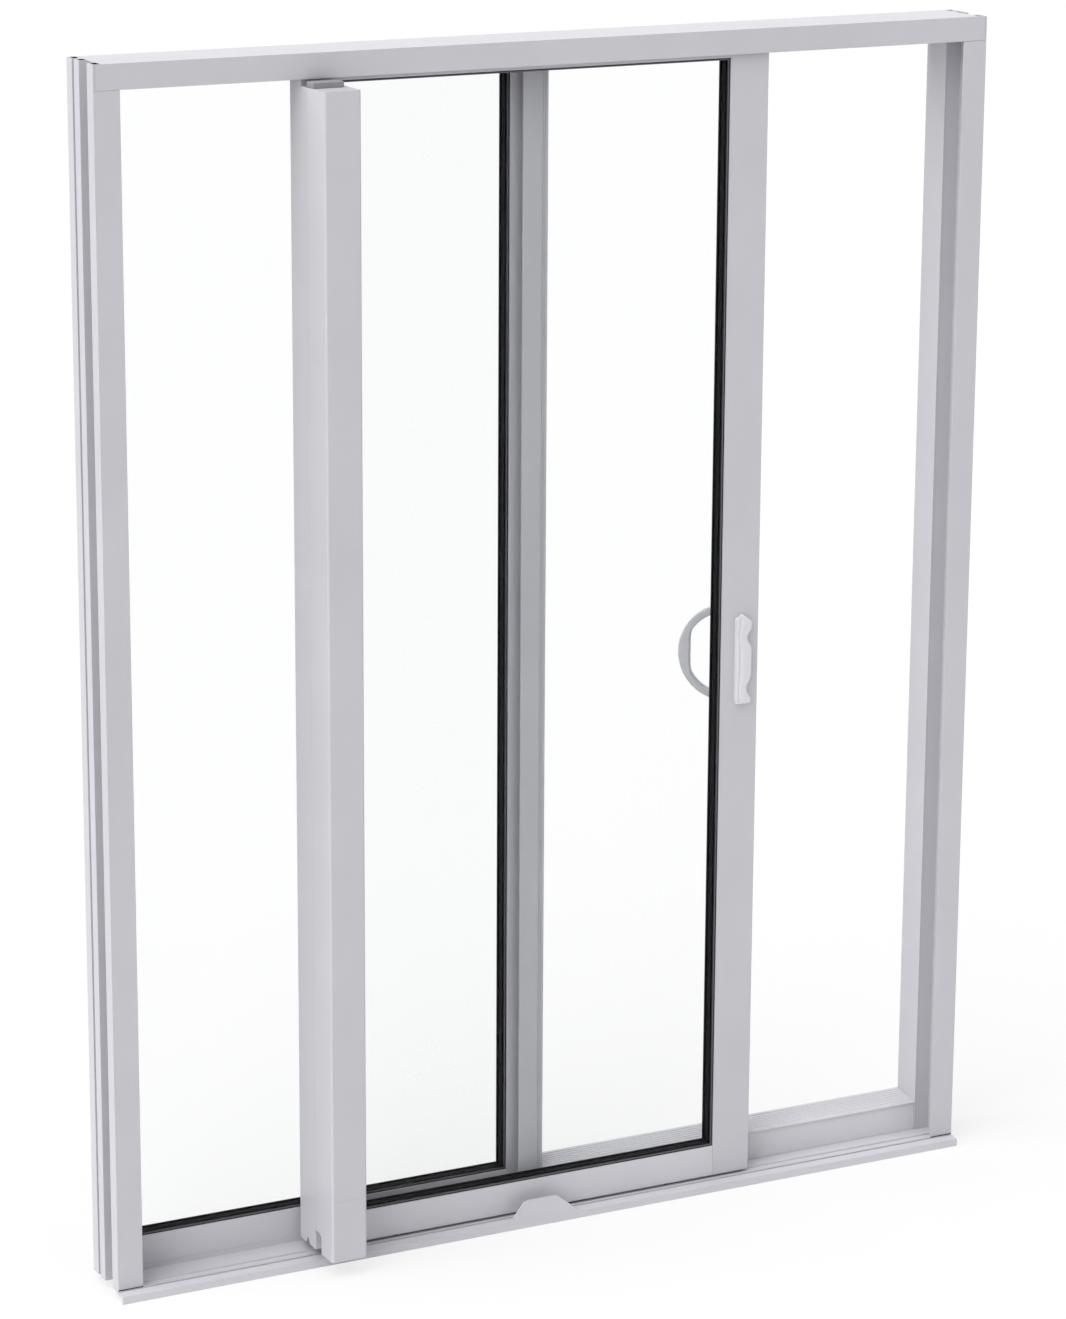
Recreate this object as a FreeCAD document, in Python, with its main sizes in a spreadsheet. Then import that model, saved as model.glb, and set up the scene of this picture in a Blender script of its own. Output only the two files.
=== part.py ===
import FreeCAD, Part
import os
from types import SimpleNamespace

import Sketcher

# A two-panel sliding patio door of painted aluminium extrusions, in millimetres.
# +X runs to the right as seen from the weather side, +Y runs indoors and +Z runs up.
# The origin is on the underside of the sill, at the middle of the frame's width and depth.

# Driving dimensions
DIMENSIONS = {
    # Frame
    "frame_width": 1626,
    "frame_height": 2032,
    "frame_depth": 112,
    "frame_wall": 3,
    "seat_gap": 0.3,
    "jamb_face": 44,
    "jamb_web_inset": 14,
    "jamb_front_box": 26,
    "jamb_deep_groove": 33,
    "jamb_middle_box": 22,
    "jamb_rear_groove": 8,
    "jamb_rear_groove_depth": 8,
    "split_setback": 52,
    "head_face": 41,
    "head_plate": 4,
    "head_split_drop": 36,
    # Sill
    "nose_reach": 20,
    "nose_plate": 4,
    "nose_rise": 3,
    "nose_groove": 4,
    "nose_groove_depth": 3.5,
    "nose_tongue": 9,
    "lip_drop": 13,
    "sill_plate": 2,
    "sill_land": 4,
    "sill_land_setback": 70,
    "rib_setback": 20,
    "rib_width": 3,
    "rib_rise": 3,
    "rail_stop": 1.4,
    "rail_stop_rise": 6,
    "rear_dam": 40,
    # Catch on the nose of the sill
    "catch_middle": 777,
    "catch_top": 62,
    "catch_base": 150,
    "catch_rise": 37,
    "catch_plate": 4,
    "catch_foot_run": 17,
    "catch_foot_rise": 3,
    "catch_foot_edge": 1.5,
    "catch_foot_round": 25,
    "catch_top_round": 12,
    # Fillers on the opening side
    "cover_front_rise": 56,
    "cover_back_rise": 64,
    "cover_wall": 2.5,
    "cover_nose": 3,
    "cover_rib_margin": 3,
    "cover_rib_pitch": 7,
    "cover_rib_width": 3.5,
    "cover_rib_rise": 1,
    "filler_leg": 20,
    # Both panels
    "panel_depth": 37,
    "panel_wall": 2.5,
    "pocket_depth": 14,
    "glass_bite": 12,
    "pane": 5,
    "glass_unit": 23,
    "rail_top": 62,
    "rail_channel": 23,
    "opening_top_drop": 47,
    "gasket_width": 4,
    "gasket_bead": 2.5,
    "gasket_recess": 2,
    "gasket_tuck": 6,
    "gasket_lip": 2,
    "spacer_show": 3.5,
    "spacer_tuck": 10,
    "hook_wall": 2.5,
    "hook_top_drop": 47,
    # Fixed panel
    "fixed_right": 815,
    "meeting_stile_width": 61,
    "fixed_left_stile_show": 6,
    "fixed_hook_setback": 2,
    "fixed_hook_lip": 46,
    "hook_groove_inset": 5,
    "hook_groove_pitch": 4,
    "hook_groove_width": 1.5,
    "hook_groove_depth": 0.8,
    # Sliding panel
    "sliding_setback": 9,
    "sliding_left": 353,
    "sliding_width": 851,
    "stile_width": 72,
    "track_clearance": 5,
    "sliding_top_drop": 14,
    "interlock_bottom": 17,
    "seal_bead_width": 3,
    "seal_bead_reach": 5.5,
    "interlock_hook_inset": 9,
    "interlock_hook_lip": 30,
    "interlock_hook_reach": 18,
    "adapter_reach": 11,
    "tube_width": 64,
    "tube_reach": 80,
    "tube_top_drop": 52,
    "tube_wall": 3,
    "tube_round": 4,
    "tube_joint": 0.1,
    "foot_top": 125,
    "foot_floor": 6,
    "slot_front": 34.5,
    "slot_top": 52,
    "slot_round": 10,
    "notch_width": 16,
    "notch_rise": 11,
    # Rollers
    "wheel_radius": 13,
    "wheel_groove": 2.5,
    "wheel_width": 9,
    "axle_radius": 3,
    "axle_run": 3,
    "roller_inset": 90,
    "carriage_length": 70,
    # Near handle
    "handle_middle": 953,
    "plate_width": 36,
    "plate_height": 164,
    "plate_depth": 15,
    "plate_inset": 15,
    "plate_bevel": 3,
    "plate_round": 6,
    "plate_crest": 15,
    "plate_crest_drop": 4,
    "plate_slope_drop": 12,
    "plate_crest_round": 14,
    "scallop_radius": 26,
    "scallop_bite": 9,
    "scallop_spread": 40,
    # Far handle
    "bow_radius": 86,
    "bow_thickness": 11.5,
    "bow_grip": 20,
    "bow_grip_half": 38,
    "bow_grip_round": 25,
    "bow_depth": 16,
    "bow_round": 3,
    "bow_run_on": 30,
    "bow_lean": 36,
    "bow_inset": 37,
    "bow_stand": 2,
    "bow_base_depth": 5,
    "bow_base_width": 36,
    "bow_base_inset": 18,
    "bow_base_margin": 9,
    "bow_base_round": 12,
}

COVER_RIBS = 8
HOOK_GROOVES = 2


class Size:
    """A length with its number and the sheet expression that gives it."""

    def __init__(self, number, text):
        self.number = number
        self.text = text

    def __add__(self, other):
        other = as_size(other)
        return Size(self.number + other.number, f"({self.text} + {other.text})")

    def __sub__(self, other):
        other = as_size(other)
        return Size(self.number - other.number, f"({self.text} - {other.text})")

    def __mul__(self, other):
        other = as_size(other)
        return Size(self.number * other.number, f"({self.text} * {other.text})")

    def __truediv__(self, other):
        other = as_size(other)
        return Size(self.number / other.number, f"({self.text} / {other.text})")

    def __neg__(self):
        return Size(-self.number, f"(0 - {self.text})")


def as_size(value):
    """A plain number as a Size, so that both kinds can be added."""
    return value if isinstance(value, Size) else Size(float(value), str(value))


doc = FreeCAD.newDocument("patio_door")
sheet = doc.addObject("Spreadsheet::Sheet", "Sizes")
for row, (name, number) in enumerate(DIMENSIONS.items(), start=1):
    sheet.set(f"A{row}", name)
    sheet.set(f"B{row}", str(number))
    sheet.setAlias(f"B{row}", name)
doc.recompute()

d = SimpleNamespace(**{name: Size(number, f"Sizes.{name}") for name, number in DIMENSIONS.items()})
pieces = []

# The origin plane to sketch on and the sign of its normal, for each direction of extrusion
PLANES = {"X": ("YZ_Plane", 1), "Y": ("XZ_Plane", -1), "Z": ("XY_Plane", 1)}


def bind(thing, path, value):
    """Set one property of an object from a Size."""
    thing.setExpression(path, as_size(value).text)


def place_point(sketch, item, point, a, b):
    """Bind both coordinates of a point of a sketch to sizes."""
    for kind, value in (("DistanceX", a), ("DistanceY", b)):
        index = sketch.addConstraint(Sketcher.Constraint(kind, -1, 1, item, point, value.number))
        sketch.setExpression(f"Constraints[{index}]", value.text)


def polygon(sketch, outline):
    """Add a closed polygon to a sketch, with every corner bound to sizes."""
    corners = [(as_size(a), as_size(b)) for a, b in outline]
    count = len(corners)
    first = sketch.GeometryCount
    spots = [FreeCAD.Vector(a.number, b.number, 0) for a, b in corners]
    sketch.addGeometry([Part.LineSegment(spots[i], spots[(i + 1) % count]) for i in range(count)])
    for i in range(count):
        sketch.addConstraint(Sketcher.Constraint("Coincident", first + i, 2, first + (i + 1) % count, 1))
    for i, (a, b) in enumerate(corners):
        place_point(sketch, first + i, 1, a, b)


def circle(sketch, a, b, radius):
    """Add a circle to a sketch, with its centre and radius bound to sizes."""
    a, b, radius = as_size(a), as_size(b), as_size(radius)
    middle = FreeCAD.Vector(a.number, b.number, 0)
    item = sketch.addGeometry(Part.Circle(middle, FreeCAD.Vector(0, 0, 1), radius.number))
    place_point(sketch, item, 3, a, b)
    index = sketch.addConstraint(Sketcher.Constraint("Radius", item, radius.number))
    sketch.setExpression(f"Constraints[{index}]", radius.text)


def rectangle(a0, a1, b0, b1):
    """The four corners of a rectangle."""
    return [(a0, b0), (a1, b0), (a1, b1), (a0, b1)]


def new_body(label):
    """An empty body."""
    body = doc.addObject("PartDesign::Body", label)
    body.Label = label
    return body


def new_piece(label):
    """An empty body that becomes one piece of the door."""
    body = new_body(label)
    pieces.append(body)
    return body


def new_sketch(body, axis, level):
    """An empty sketch across an axis, at a level along it."""
    role, sign = PLANES[axis]
    level = as_size(level)
    sketch = body.newObject("Sketcher::SketchObject", f"{body.Label}_outline")
    plane = next(f for f in body.Origin.OriginFeatures if f.Role == role)
    sketch.AttachmentSupport = [(plane, "")]
    sketch.MapMode = "FlatFace"
    bind(sketch, "AttachmentOffset.Base.z", level if sign > 0 else -level)
    return sketch


def pad_sketch(body, sketch, length):
    """Extrude a sketch along its plane's normal."""
    feature = body.newObject("PartDesign::Pad", f"{body.Label}_pad")
    feature.Profile = sketch
    bind(feature, "Length", length)
    doc.recompute()


def pocket_sketch(body, sketch, length):
    """Cut a sketch out of a body against its plane's normal, and make sure that something went."""
    before = body.Shape.Volume
    feature = body.newObject("PartDesign::Pocket", f"{body.Label}_cut")
    feature.Profile = sketch
    bind(feature, "Length", length)
    doc.recompute()
    if not body.Shape.Volume < before:
        raise RuntimeError(f"a cut took nothing from {body.Label}")


def pad(body, axis, start, end, *outlines):
    """Extrude outlines along an axis, from start to end. Outlines inside another are hollows."""
    sketch = new_sketch(body, axis, end if axis == "Y" else start)
    for outline in outlines:
        polygon(sketch, outline)
    pad_sketch(body, sketch, as_size(end) - start)


def cut(body, axis, start, end, *outlines):
    """Cut outlines out of a body along an axis, from start to end."""
    sketch = new_sketch(body, axis, start if axis == "Y" else end)
    for outline in outlines:
        polygon(sketch, outline)
    pocket_sketch(body, sketch, as_size(end) - start)


def round_edges(body, names, radius):
    """Round the named edges of a body."""
    base = body.Tip
    feature = body.newObject("PartDesign::Fillet", f"{body.Label}_rounding")
    feature.Base = (base, names)
    bind(feature, "Radius", radius)
    doc.recompute()


def round_corners(body, axis, corners, radius):
    """Round the edges that run along an axis through the given corners of an outline."""
    across = [i for i in range(3) if i != "XYZ".index(axis)]
    spots = [[as_size(value).number for value in corner] for corner in corners]
    names = []
    for number, edge in enumerate(body.Shape.Edges, start=1):
        ends = [[vertex.Point[i] for i in across] for vertex in edge.Vertexes]
        for spot in spots:
            if len(ends) == 2 and all(abs(e[i] - spot[i]) < 0.01 for e in ends for i in (0, 1)):
                names.append(f"Edge{number}")
    round_edges(body, names, radius)


# Shared planes of the frame
left = -d.frame_width / 2
right = d.frame_width / 2
front = -d.frame_depth / 2
back = d.frame_depth / 2
top = d.frame_height
head_bottom = top - d.head_face
split = front + d.split_setback
rear_leg = back - d.frame_wall
web_inside = d.jamb_web_inset + d.frame_wall
track_front = front + d.frame_wall
land_front = front + d.sill_land_setback
land_seat = d.sill_land + d.seat_gap
floor_seat = d.sill_plate + d.seat_gap
rib_top = d.sill_plate + d.rib_rise
sliding_bottom = d.sill_plate + d.track_clearance
cover_left = left + d.fixed_right + d.seat_gap
filler_seat = right - d.jamb_face - d.seat_gap
filler_left = filler_seat - d.cover_wall

# Shared planes of the panels
sliding_front = front + d.sliding_setback
sliding_back = sliding_front + d.panel_depth
fixed_front = rear_leg - d.seat_gap - d.panel_depth
fixed_back = fixed_front + d.panel_depth
sliding_left = left + d.sliding_left
sliding_right = sliding_left + d.sliding_width
sliding_top = top - d.sliding_top_drop
fixed_top = top - d.head_plate - d.seat_gap
hook_top = top - d.hook_top_drop
opening_top = top - d.opening_top_drop
tube_top = top - d.tube_top_drop
glass_inset = (d.panel_depth - d.glass_unit) / 2


# The frame: two jambs, a head and a sill
def make_jamb(label, across):
    """One jamb: hollow boxes on the wall side, and three legs that form the two tracks. across maps a
    distance from the jamb's outer face to X."""
    groove_end = front + d.jamb_front_box + d.jamb_deep_groove
    middle_end = groove_end + d.jamb_middle_box
    rear_start = middle_end + d.jamb_rear_groove
    wall = d.frame_wall
    section = [
        (across(0), front),
        (across(d.jamb_face), front),
        (across(d.jamb_face), front + wall),
        (across(web_inside), front + wall),
        (across(web_inside), split),
        (across(d.jamb_face), split),
        (across(d.jamb_face), split + wall),
        (across(web_inside), split + wall),
        (across(web_inside), rear_leg),
        (across(d.jamb_face), rear_leg),
        (across(d.jamb_face), back),
        (across(0), back),
        (across(0), rear_start),
        (across(d.jamb_rear_groove_depth), rear_start),
        (across(d.jamb_rear_groove_depth), middle_end),
        (across(0), middle_end),
        (across(0), groove_end),
        (across(d.jamb_web_inset), groove_end),
        (across(d.jamb_web_inset), front + d.jamb_front_box),
        (across(0), front + d.jamb_front_box),
    ]
    inner, outer = across(d.jamb_web_inset), across(wall)
    boxes = [
        (front + wall, front + d.jamb_front_box - wall),
        (groove_end + wall, middle_end - wall),
        (rear_start + wall, rear_leg),
    ]
    hollows = [rectangle(outer, inner, y0, y1) for y0, y1 in boxes]
    body = new_piece(label)
    pad(body, "Z", 0, top, section, *hollows)
    coping = head_bottom - d.seat_gap
    track_side = rectangle(across(web_inside), across(d.jamb_face + wall), front - wall, back + wall)
    cut(body, "Z", coping, top + wall, track_side)
    fascia = rectangle(across(wall), across(web_inside + wall), front - wall, front + wall)
    cut(body, "Z", coping, top + wall, fascia)
    feet = [
        (front - wall, track_front, land_seat),
        (track_front, land_front, floor_seat),
        (land_front, back + wall, land_seat),
    ]
    for y0, y1, seat in feet:
        cut(body, "Z", -wall, seat, rectangle(across(web_inside), across(d.jamb_face + wall), y0, y1))


make_jamb("left_jamb", lambda s: left + s)
make_jamb("right_jamb", lambda s: right - s)

# The head: a full-width fascia on an upside-down channel section for the two tracks
head = new_piece("head")
fascia_back = front + d.frame_wall - d.seat_gap
fascia_end = d.frame_wall + d.seat_gap
pad(head, "X", left + fascia_end, right - fascia_end, rectangle(front, fascia_back, head_bottom, top))
head_section = [
    (front, top),
    (front, head_bottom),
    (fascia_back, head_bottom),
    (fascia_back, top - d.head_plate),
    (split, top - d.head_plate),
    (split, top - d.head_split_drop),
    (split + d.frame_wall, top - d.head_split_drop),
    (split + d.frame_wall, top - d.head_plate),
    (rear_leg, top - d.head_plate),
    (rear_leg, head_bottom),
    (back, head_bottom),
    (back, top),
]
head_end = web_inside + d.seat_gap
pad(head, "X", left + head_end, right - head_end, head_section)

# The sill: a nose that rises from its drip lip to a groove, then the track floor between a curb and a rib, the
# land with a stop for the fixed panel, and a dam behind
sill = new_piece("sill")
nose_front = front - d.nose_reach
nose_back = front - d.nose_groove
groove_floor = d.nose_rise - d.nose_groove_depth
nose_section = [
    (nose_front, -d.lip_drop),
    (nose_front + d.nose_plate, -d.lip_drop),
    (nose_front + d.nose_plate, -d.nose_plate),
    (front + d.nose_tongue, -d.nose_plate),
    (front + d.nose_tongue, 0),
    (front, 0),
    (front, groove_floor),
    (nose_back, groove_floor),
    (nose_back, d.nose_rise),
    (nose_front + d.catch_plate, 0),
    (nose_front, 0),
]
pad(sill, "X", left, right, nose_section)
rib_front = front + d.rib_setback - d.rib_width / 2
floor_section = [
    (front, 0),
    (back, 0),
    (back, d.sill_land),
    (land_front, d.sill_land),
    (land_front, d.sill_plate),
    (rib_front + d.rib_width, d.sill_plate),
    (rib_front + d.rib_width, rib_top),
    (rib_front, rib_top),
    (rib_front, d.sill_plate),
    (track_front, d.sill_plate),
    (track_front, d.sill_land),
    (front, d.sill_land),
]
pad(sill, "X", left + head_end, right - head_end, floor_section)
dam_left = left + d.jamb_face + d.seat_gap
pad(sill, "X", dam_left, filler_left - d.seat_gap, rectangle(rear_leg, back, d.sill_land, d.rear_dam))
stop_right = left + d.fixed_right - d.meeting_stile_width - d.seat_gap
stop_top = d.sill_land + d.rail_stop_rise
pad(sill, "X", dam_left, stop_right, rectangle(land_front, land_front + d.rail_stop, d.sill_land, stop_top))

# The catch that the interlock tube slides over: a tab standing on the nose, flush with the lip
catch = new_piece("interlock_catch")
catch_middle = left + d.catch_middle
catch_left = catch_middle - d.catch_base / 2
catch_foot = (catch_left + d.catch_foot_run, d.catch_foot_rise)
catch_top_left = (catch_middle - d.catch_top / 2, d.catch_rise)
catch_top_right = (catch_middle + d.catch_top / 2, d.catch_rise)
pad(catch, "Y", nose_front, nose_front + d.catch_plate, [
    (catch_left, 0),
    (catch_middle + d.catch_base / 2, 0),
    catch_top_right,
    catch_top_left,
    catch_foot,
    (catch_left, d.catch_foot_edge),
])
round_corners(catch, "Y", [catch_foot], d.catch_foot_round)
round_corners(catch, "Y", [catch_top_left, catch_top_right], d.catch_top_round)

# The threshold cover that fills the fixed track beside the fixed panel, with tread ribs along its top and a
# nose that overhangs its riser
cover = new_piece("threshold_cover")
cover_rear = rear_leg - d.seat_gap
cover_slope = (d.cover_back_rise - d.cover_front_rise) / (back - split)


def cover_top(y):
    """Height of the cover's top between its ribs."""
    return d.cover_front_rise + cover_slope * (y - split)


tread = []
for number in reversed(range(COVER_RIBS)):
    rib_start = split + d.cover_rib_margin + d.cover_rib_pitch * number
    rib_end = rib_start + d.cover_rib_width
    tread += [
        (rib_end, cover_top(rib_end)),
        (rib_end, cover_top(rib_end) + d.cover_rib_rise),
        (rib_start, cover_top(rib_start) + d.cover_rib_rise),
        (rib_start, cover_top(rib_start)),
    ]
cover_riser = split + d.cover_nose
cover_section = [
    (cover_riser, floor_seat),
    (cover_riser + d.cover_wall, floor_seat),
    (cover_riser + d.cover_wall, d.cover_front_rise - d.cover_wall),
    (cover_rear - d.cover_wall, d.cover_back_rise - d.cover_wall),
    (cover_rear - d.cover_wall, land_seat),
    (cover_rear, land_seat),
    (cover_rear, d.cover_back_rise - d.cover_wall),
    (back, d.cover_back_rise - d.cover_wall),
    (back, d.cover_back_rise),
    *tread,
    (split, d.cover_front_rise),
    (split, d.cover_front_rise - d.cover_wall),
    (cover_riser, d.cover_front_rise - d.cover_wall),
]
pad(cover, "X", cover_left, filler_left - d.seat_gap, cover_section)

# The filler that closes the same track in the right jamb
filler = new_piece("jamb_filler")
filler_tip = filler_seat + d.filler_leg
filler_front_leg = split + d.frame_wall + d.seat_gap
filler_back_leg = rear_leg - d.seat_gap
filler_section = [
    (filler_left, split),
    (filler_seat, split),
    (filler_seat, filler_front_leg),
    (filler_tip, filler_front_leg),
    (filler_tip, filler_front_leg + d.cover_wall),
    (filler_seat, filler_front_leg + d.cover_wall),
    (filler_seat, filler_back_leg - d.cover_wall),
    (filler_tip, filler_back_leg - d.cover_wall),
    (filler_tip, filler_back_leg),
    (filler_seat, filler_back_leg),
    (filler_seat, back),
    (filler_left, back),
]
pad(filler, "Z", land_seat, head_bottom - d.seat_gap, filler_section)


# The panels: hollow stiles and rails with a glazing pocket
def stile_section(edge, far, y0, far_corners=None):
    """Plan of a stile from its glass edge to its far edge, with the glazing pocket open at the glass edge,
    and its hollow. far_corners replaces the far back corner where an interlock hook grows from it."""
    y1 = y0 + d.panel_depth
    wall = d.panel_wall
    if far.number > edge.number:
        floor, near_wall, far_wall = edge + d.pocket_depth, edge + d.pocket_depth + wall, far - wall
    else:
        floor, near_wall, far_wall = edge - d.pocket_depth, edge - d.pocket_depth - wall, far + wall
    outline = [
        (edge, y0),
        (far, y0),
        *(far_corners or [(far, y1)]),
        (edge, y1),
        (edge, y1 - wall),
        (floor, y1 - wall),
        (floor, y0 + wall),
        (edge, y0 + wall),
    ]
    return outline, rectangle(near_wall, far_wall, y0 + wall, y1 - wall)


def rail_section(y0, base, opening, floor):
    """Side view of a rail from its base to the glass opening, with the glazing pocket down to floor."""
    y1 = y0 + d.panel_depth
    wall = d.panel_wall
    return [
        (y0, opening),
        (y0, base),
        (y1, base),
        (y1, opening),
        (y1 - wall, opening),
        (y1 - wall, floor),
        (y0 + wall, floor),
        (y0 + wall, opening),
    ]


bottom_pocket = d.rail_top - d.pocket_depth
top_pocket = opening_top + d.pocket_depth

# Fixed panel: its left stile sits in the left jamb and its bottom rail on the sill's land
fixed_left_edge = left + d.jamb_face + d.fixed_left_stile_show
fixed_right = left + d.fixed_right
meeting_edge = fixed_right - d.meeting_stile_width
fixed_rail_left = fixed_left_edge + d.seat_gap
fixed_rail_right = meeting_edge - d.seat_gap
fixed_inside_front = fixed_front + d.panel_wall
fixed_inside_back = fixed_back - d.panel_wall

fixed_left_stile = new_piece("fixed_left_stile")
pad(fixed_left_stile, "Z", land_seat, fixed_top,
    *stile_section(fixed_left_edge, left + web_inside + d.seat_gap, fixed_front))

meeting_stile = new_piece("fixed_meeting_stile")
pad(meeting_stile, "Z", land_seat, fixed_top, *stile_section(meeting_edge, fixed_right, fixed_front))
hook_front = split + d.fixed_hook_setback
hook_grooves = []
for number in reversed(range(HOOK_GROOVES)):
    groove_right = fixed_right - d.hook_groove_inset - d.hook_groove_pitch * number
    groove_left = groove_right - d.hook_groove_width
    hook_grooves += [
        (groove_left, hook_front),
        (groove_left, hook_front + d.hook_groove_depth),
        (groove_right, hook_front + d.hook_groove_depth),
        (groove_right, hook_front),
    ]
fixed_hook = [
    (fixed_right - d.hook_wall, fixed_inside_front),
    (fixed_right - d.hook_wall, hook_front + d.hook_wall),
    (fixed_right - d.fixed_hook_lip, hook_front + d.hook_wall),
    (fixed_right - d.fixed_hook_lip, hook_front),
    *hook_grooves,
    (fixed_right, hook_front),
    (fixed_right, fixed_inside_front),
]
pad(meeting_stile, "Z", land_seat, hook_top, fixed_hook)

fixed_bottom_rail = new_piece("fixed_bottom_rail")
pad(fixed_bottom_rail, "X", fixed_rail_left, fixed_rail_right,
    rail_section(fixed_front, land_seat, d.rail_top, bottom_pocket),
    rectangle(fixed_inside_front, fixed_inside_back, land_seat + d.panel_wall, bottom_pocket - d.panel_wall))
fixed_top_rail = new_piece("fixed_top_rail")
pad(fixed_top_rail, "X", fixed_rail_left, fixed_rail_right,
    rail_section(fixed_front, fixed_top, opening_top, top_pocket),
    rectangle(fixed_inside_front, fixed_inside_back, top_pocket + d.panel_wall, fixed_top - d.panel_wall))

# Sliding panel: an interlock stile with its hook, a lock stile and two rails
interlock_edge = sliding_left + d.stile_width
lock_edge = sliding_right - d.stile_width
tube_right = sliding_left + d.tube_width
hook_left = sliding_left + d.interlock_hook_inset
hook_back = sliding_back + d.interlock_hook_reach
bead_back = sliding_back + d.seal_bead_reach
bead_right = sliding_left + d.seal_bead_width
interlock_back = [
    (sliding_left, bead_back),
    (bead_right, bead_back),
    (bead_right, sliding_back),
    (hook_left, sliding_back),
    (hook_left, hook_back),
    (hook_left + d.interlock_hook_lip, hook_back),
    (hook_left + d.interlock_hook_lip, hook_back - d.hook_wall),
    (hook_left + d.hook_wall, hook_back - d.hook_wall),
    (hook_left + d.hook_wall, sliding_back),
]
interlock_stile = new_piece("interlock_stile")
pad(interlock_stile, "Z", d.interlock_bottom, sliding_top,
    *stile_section(interlock_edge, sliding_left, sliding_front, interlock_back))
cut(interlock_stile, "Z", hook_top, sliding_top + d.panel_wall,
    rectangle(sliding_left - d.panel_wall, interlock_edge, sliding_back, hook_back + d.panel_wall))
adapter_front = front - d.adapter_reach
pad(interlock_stile, "Z", d.interlock_bottom, tube_top,
    rectangle(sliding_left, tube_right, adapter_front, sliding_front),
    rectangle(sliding_left + d.panel_wall, tube_right - d.panel_wall,
              adapter_front + d.panel_wall, sliding_front - d.panel_wall))

lock_stile = new_piece("lock_stile")
pad(lock_stile, "Z", sliding_bottom, sliding_top, *stile_section(lock_edge, sliding_right, sliding_front))


def cut_track_notch(body, x0, x1, bottom):
    """A pointed notch through the foot of a stile, over the track rib."""
    middle = front + d.rib_setback
    notch = [
        (middle - d.notch_width / 2, bottom - d.panel_wall),
        (middle + d.notch_width / 2, bottom - d.panel_wall),
        (middle + d.rib_width / 2, bottom + d.notch_rise),
        (middle - d.rib_width / 2, bottom + d.notch_rise),
    ]
    cut(body, "X", x0 - d.panel_wall, x1 + d.panel_wall, notch)


cut_track_notch(interlock_stile, sliding_left, interlock_edge, d.interlock_bottom)
cut_track_notch(lock_stile, lock_edge, sliding_right, sliding_bottom)

slide_rail_left = interlock_edge + d.seat_gap
slide_rail_right = lock_edge - d.seat_gap
channel_top = sliding_bottom + d.rail_channel
sliding_inside_front = sliding_front + d.panel_wall
sliding_inside_back = sliding_back - d.panel_wall
sliding_bottom_rail = new_piece("sliding_bottom_rail")
pad(sliding_bottom_rail, "X", slide_rail_left, slide_rail_right,
    rail_section(sliding_front, sliding_bottom, d.rail_top, bottom_pocket),
    rectangle(sliding_inside_front, sliding_inside_back,
              channel_top + d.panel_wall, bottom_pocket - d.panel_wall))
cut(sliding_bottom_rail, "X", slide_rail_left, slide_rail_right,
    rectangle(sliding_inside_front, sliding_inside_back, sliding_bottom - d.panel_wall, channel_top))
sliding_top_rail = new_piece("sliding_top_rail")
pad(sliding_top_rail, "X", slide_rail_left, slide_rail_right,
    rail_section(sliding_front, sliding_top, opening_top, top_pocket),
    rectangle(sliding_inside_front, sliding_inside_back, top_pocket + d.panel_wall, sliding_top - d.panel_wall))

# The interlock tube in front of the interlock stile, with its foot that straddles the catch
tube_front = front - d.tube_reach
tube_back = adapter_front - d.seat_gap
tube_outline = rectangle(sliding_left, tube_right, tube_front, tube_back)
tube_hollow = rectangle(sliding_left + d.tube_wall, tube_right - d.tube_wall,
                        tube_front + d.tube_wall, tube_back - d.tube_wall)
tube_corners = [(sliding_left, tube_front), (tube_right, tube_front)]
tube = new_piece("interlock_tube")
pad(tube, "Z", d.foot_top + d.tube_joint, tube_top, tube_outline)
cut(tube, "Z", d.foot_top, tube_top - d.tube_wall, tube_hollow)
round_corners(tube, "Z", tube_corners, d.tube_round)
foot = new_piece("interlock_foot")
pad(foot, "Z", d.interlock_bottom, d.foot_top, tube_outline)
cut(foot, "Z", d.slot_top + d.foot_floor, d.foot_top, tube_hollow)
round_corners(foot, "Z", tube_corners, d.tube_round)
slot_front = front - d.slot_front
cut(foot, "X", sliding_left - d.tube_wall, tube_right + d.tube_wall,
    rectangle(slot_front, tube_back + d.tube_wall, d.interlock_bottom - d.tube_wall, d.slot_top))
round_corners(foot, "X", [(slot_front, d.slot_top)], d.slot_round)


# Glass: two panes, the spacer between them and a gasket ring on each side
def add_ring(body, y0, y1, opening, outward, inward):
    """A rectangular ring round a glass opening, from outward of its edge to inward of it."""
    x0, x1, z0, z1 = opening
    pad(body, "Y", y0, y1, rectangle(x0 - outward, x1 + outward, z0 - outward, z1 + outward),
        rectangle(x0 + inward, x1 - inward, z0 + inward, z1 - inward))


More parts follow.
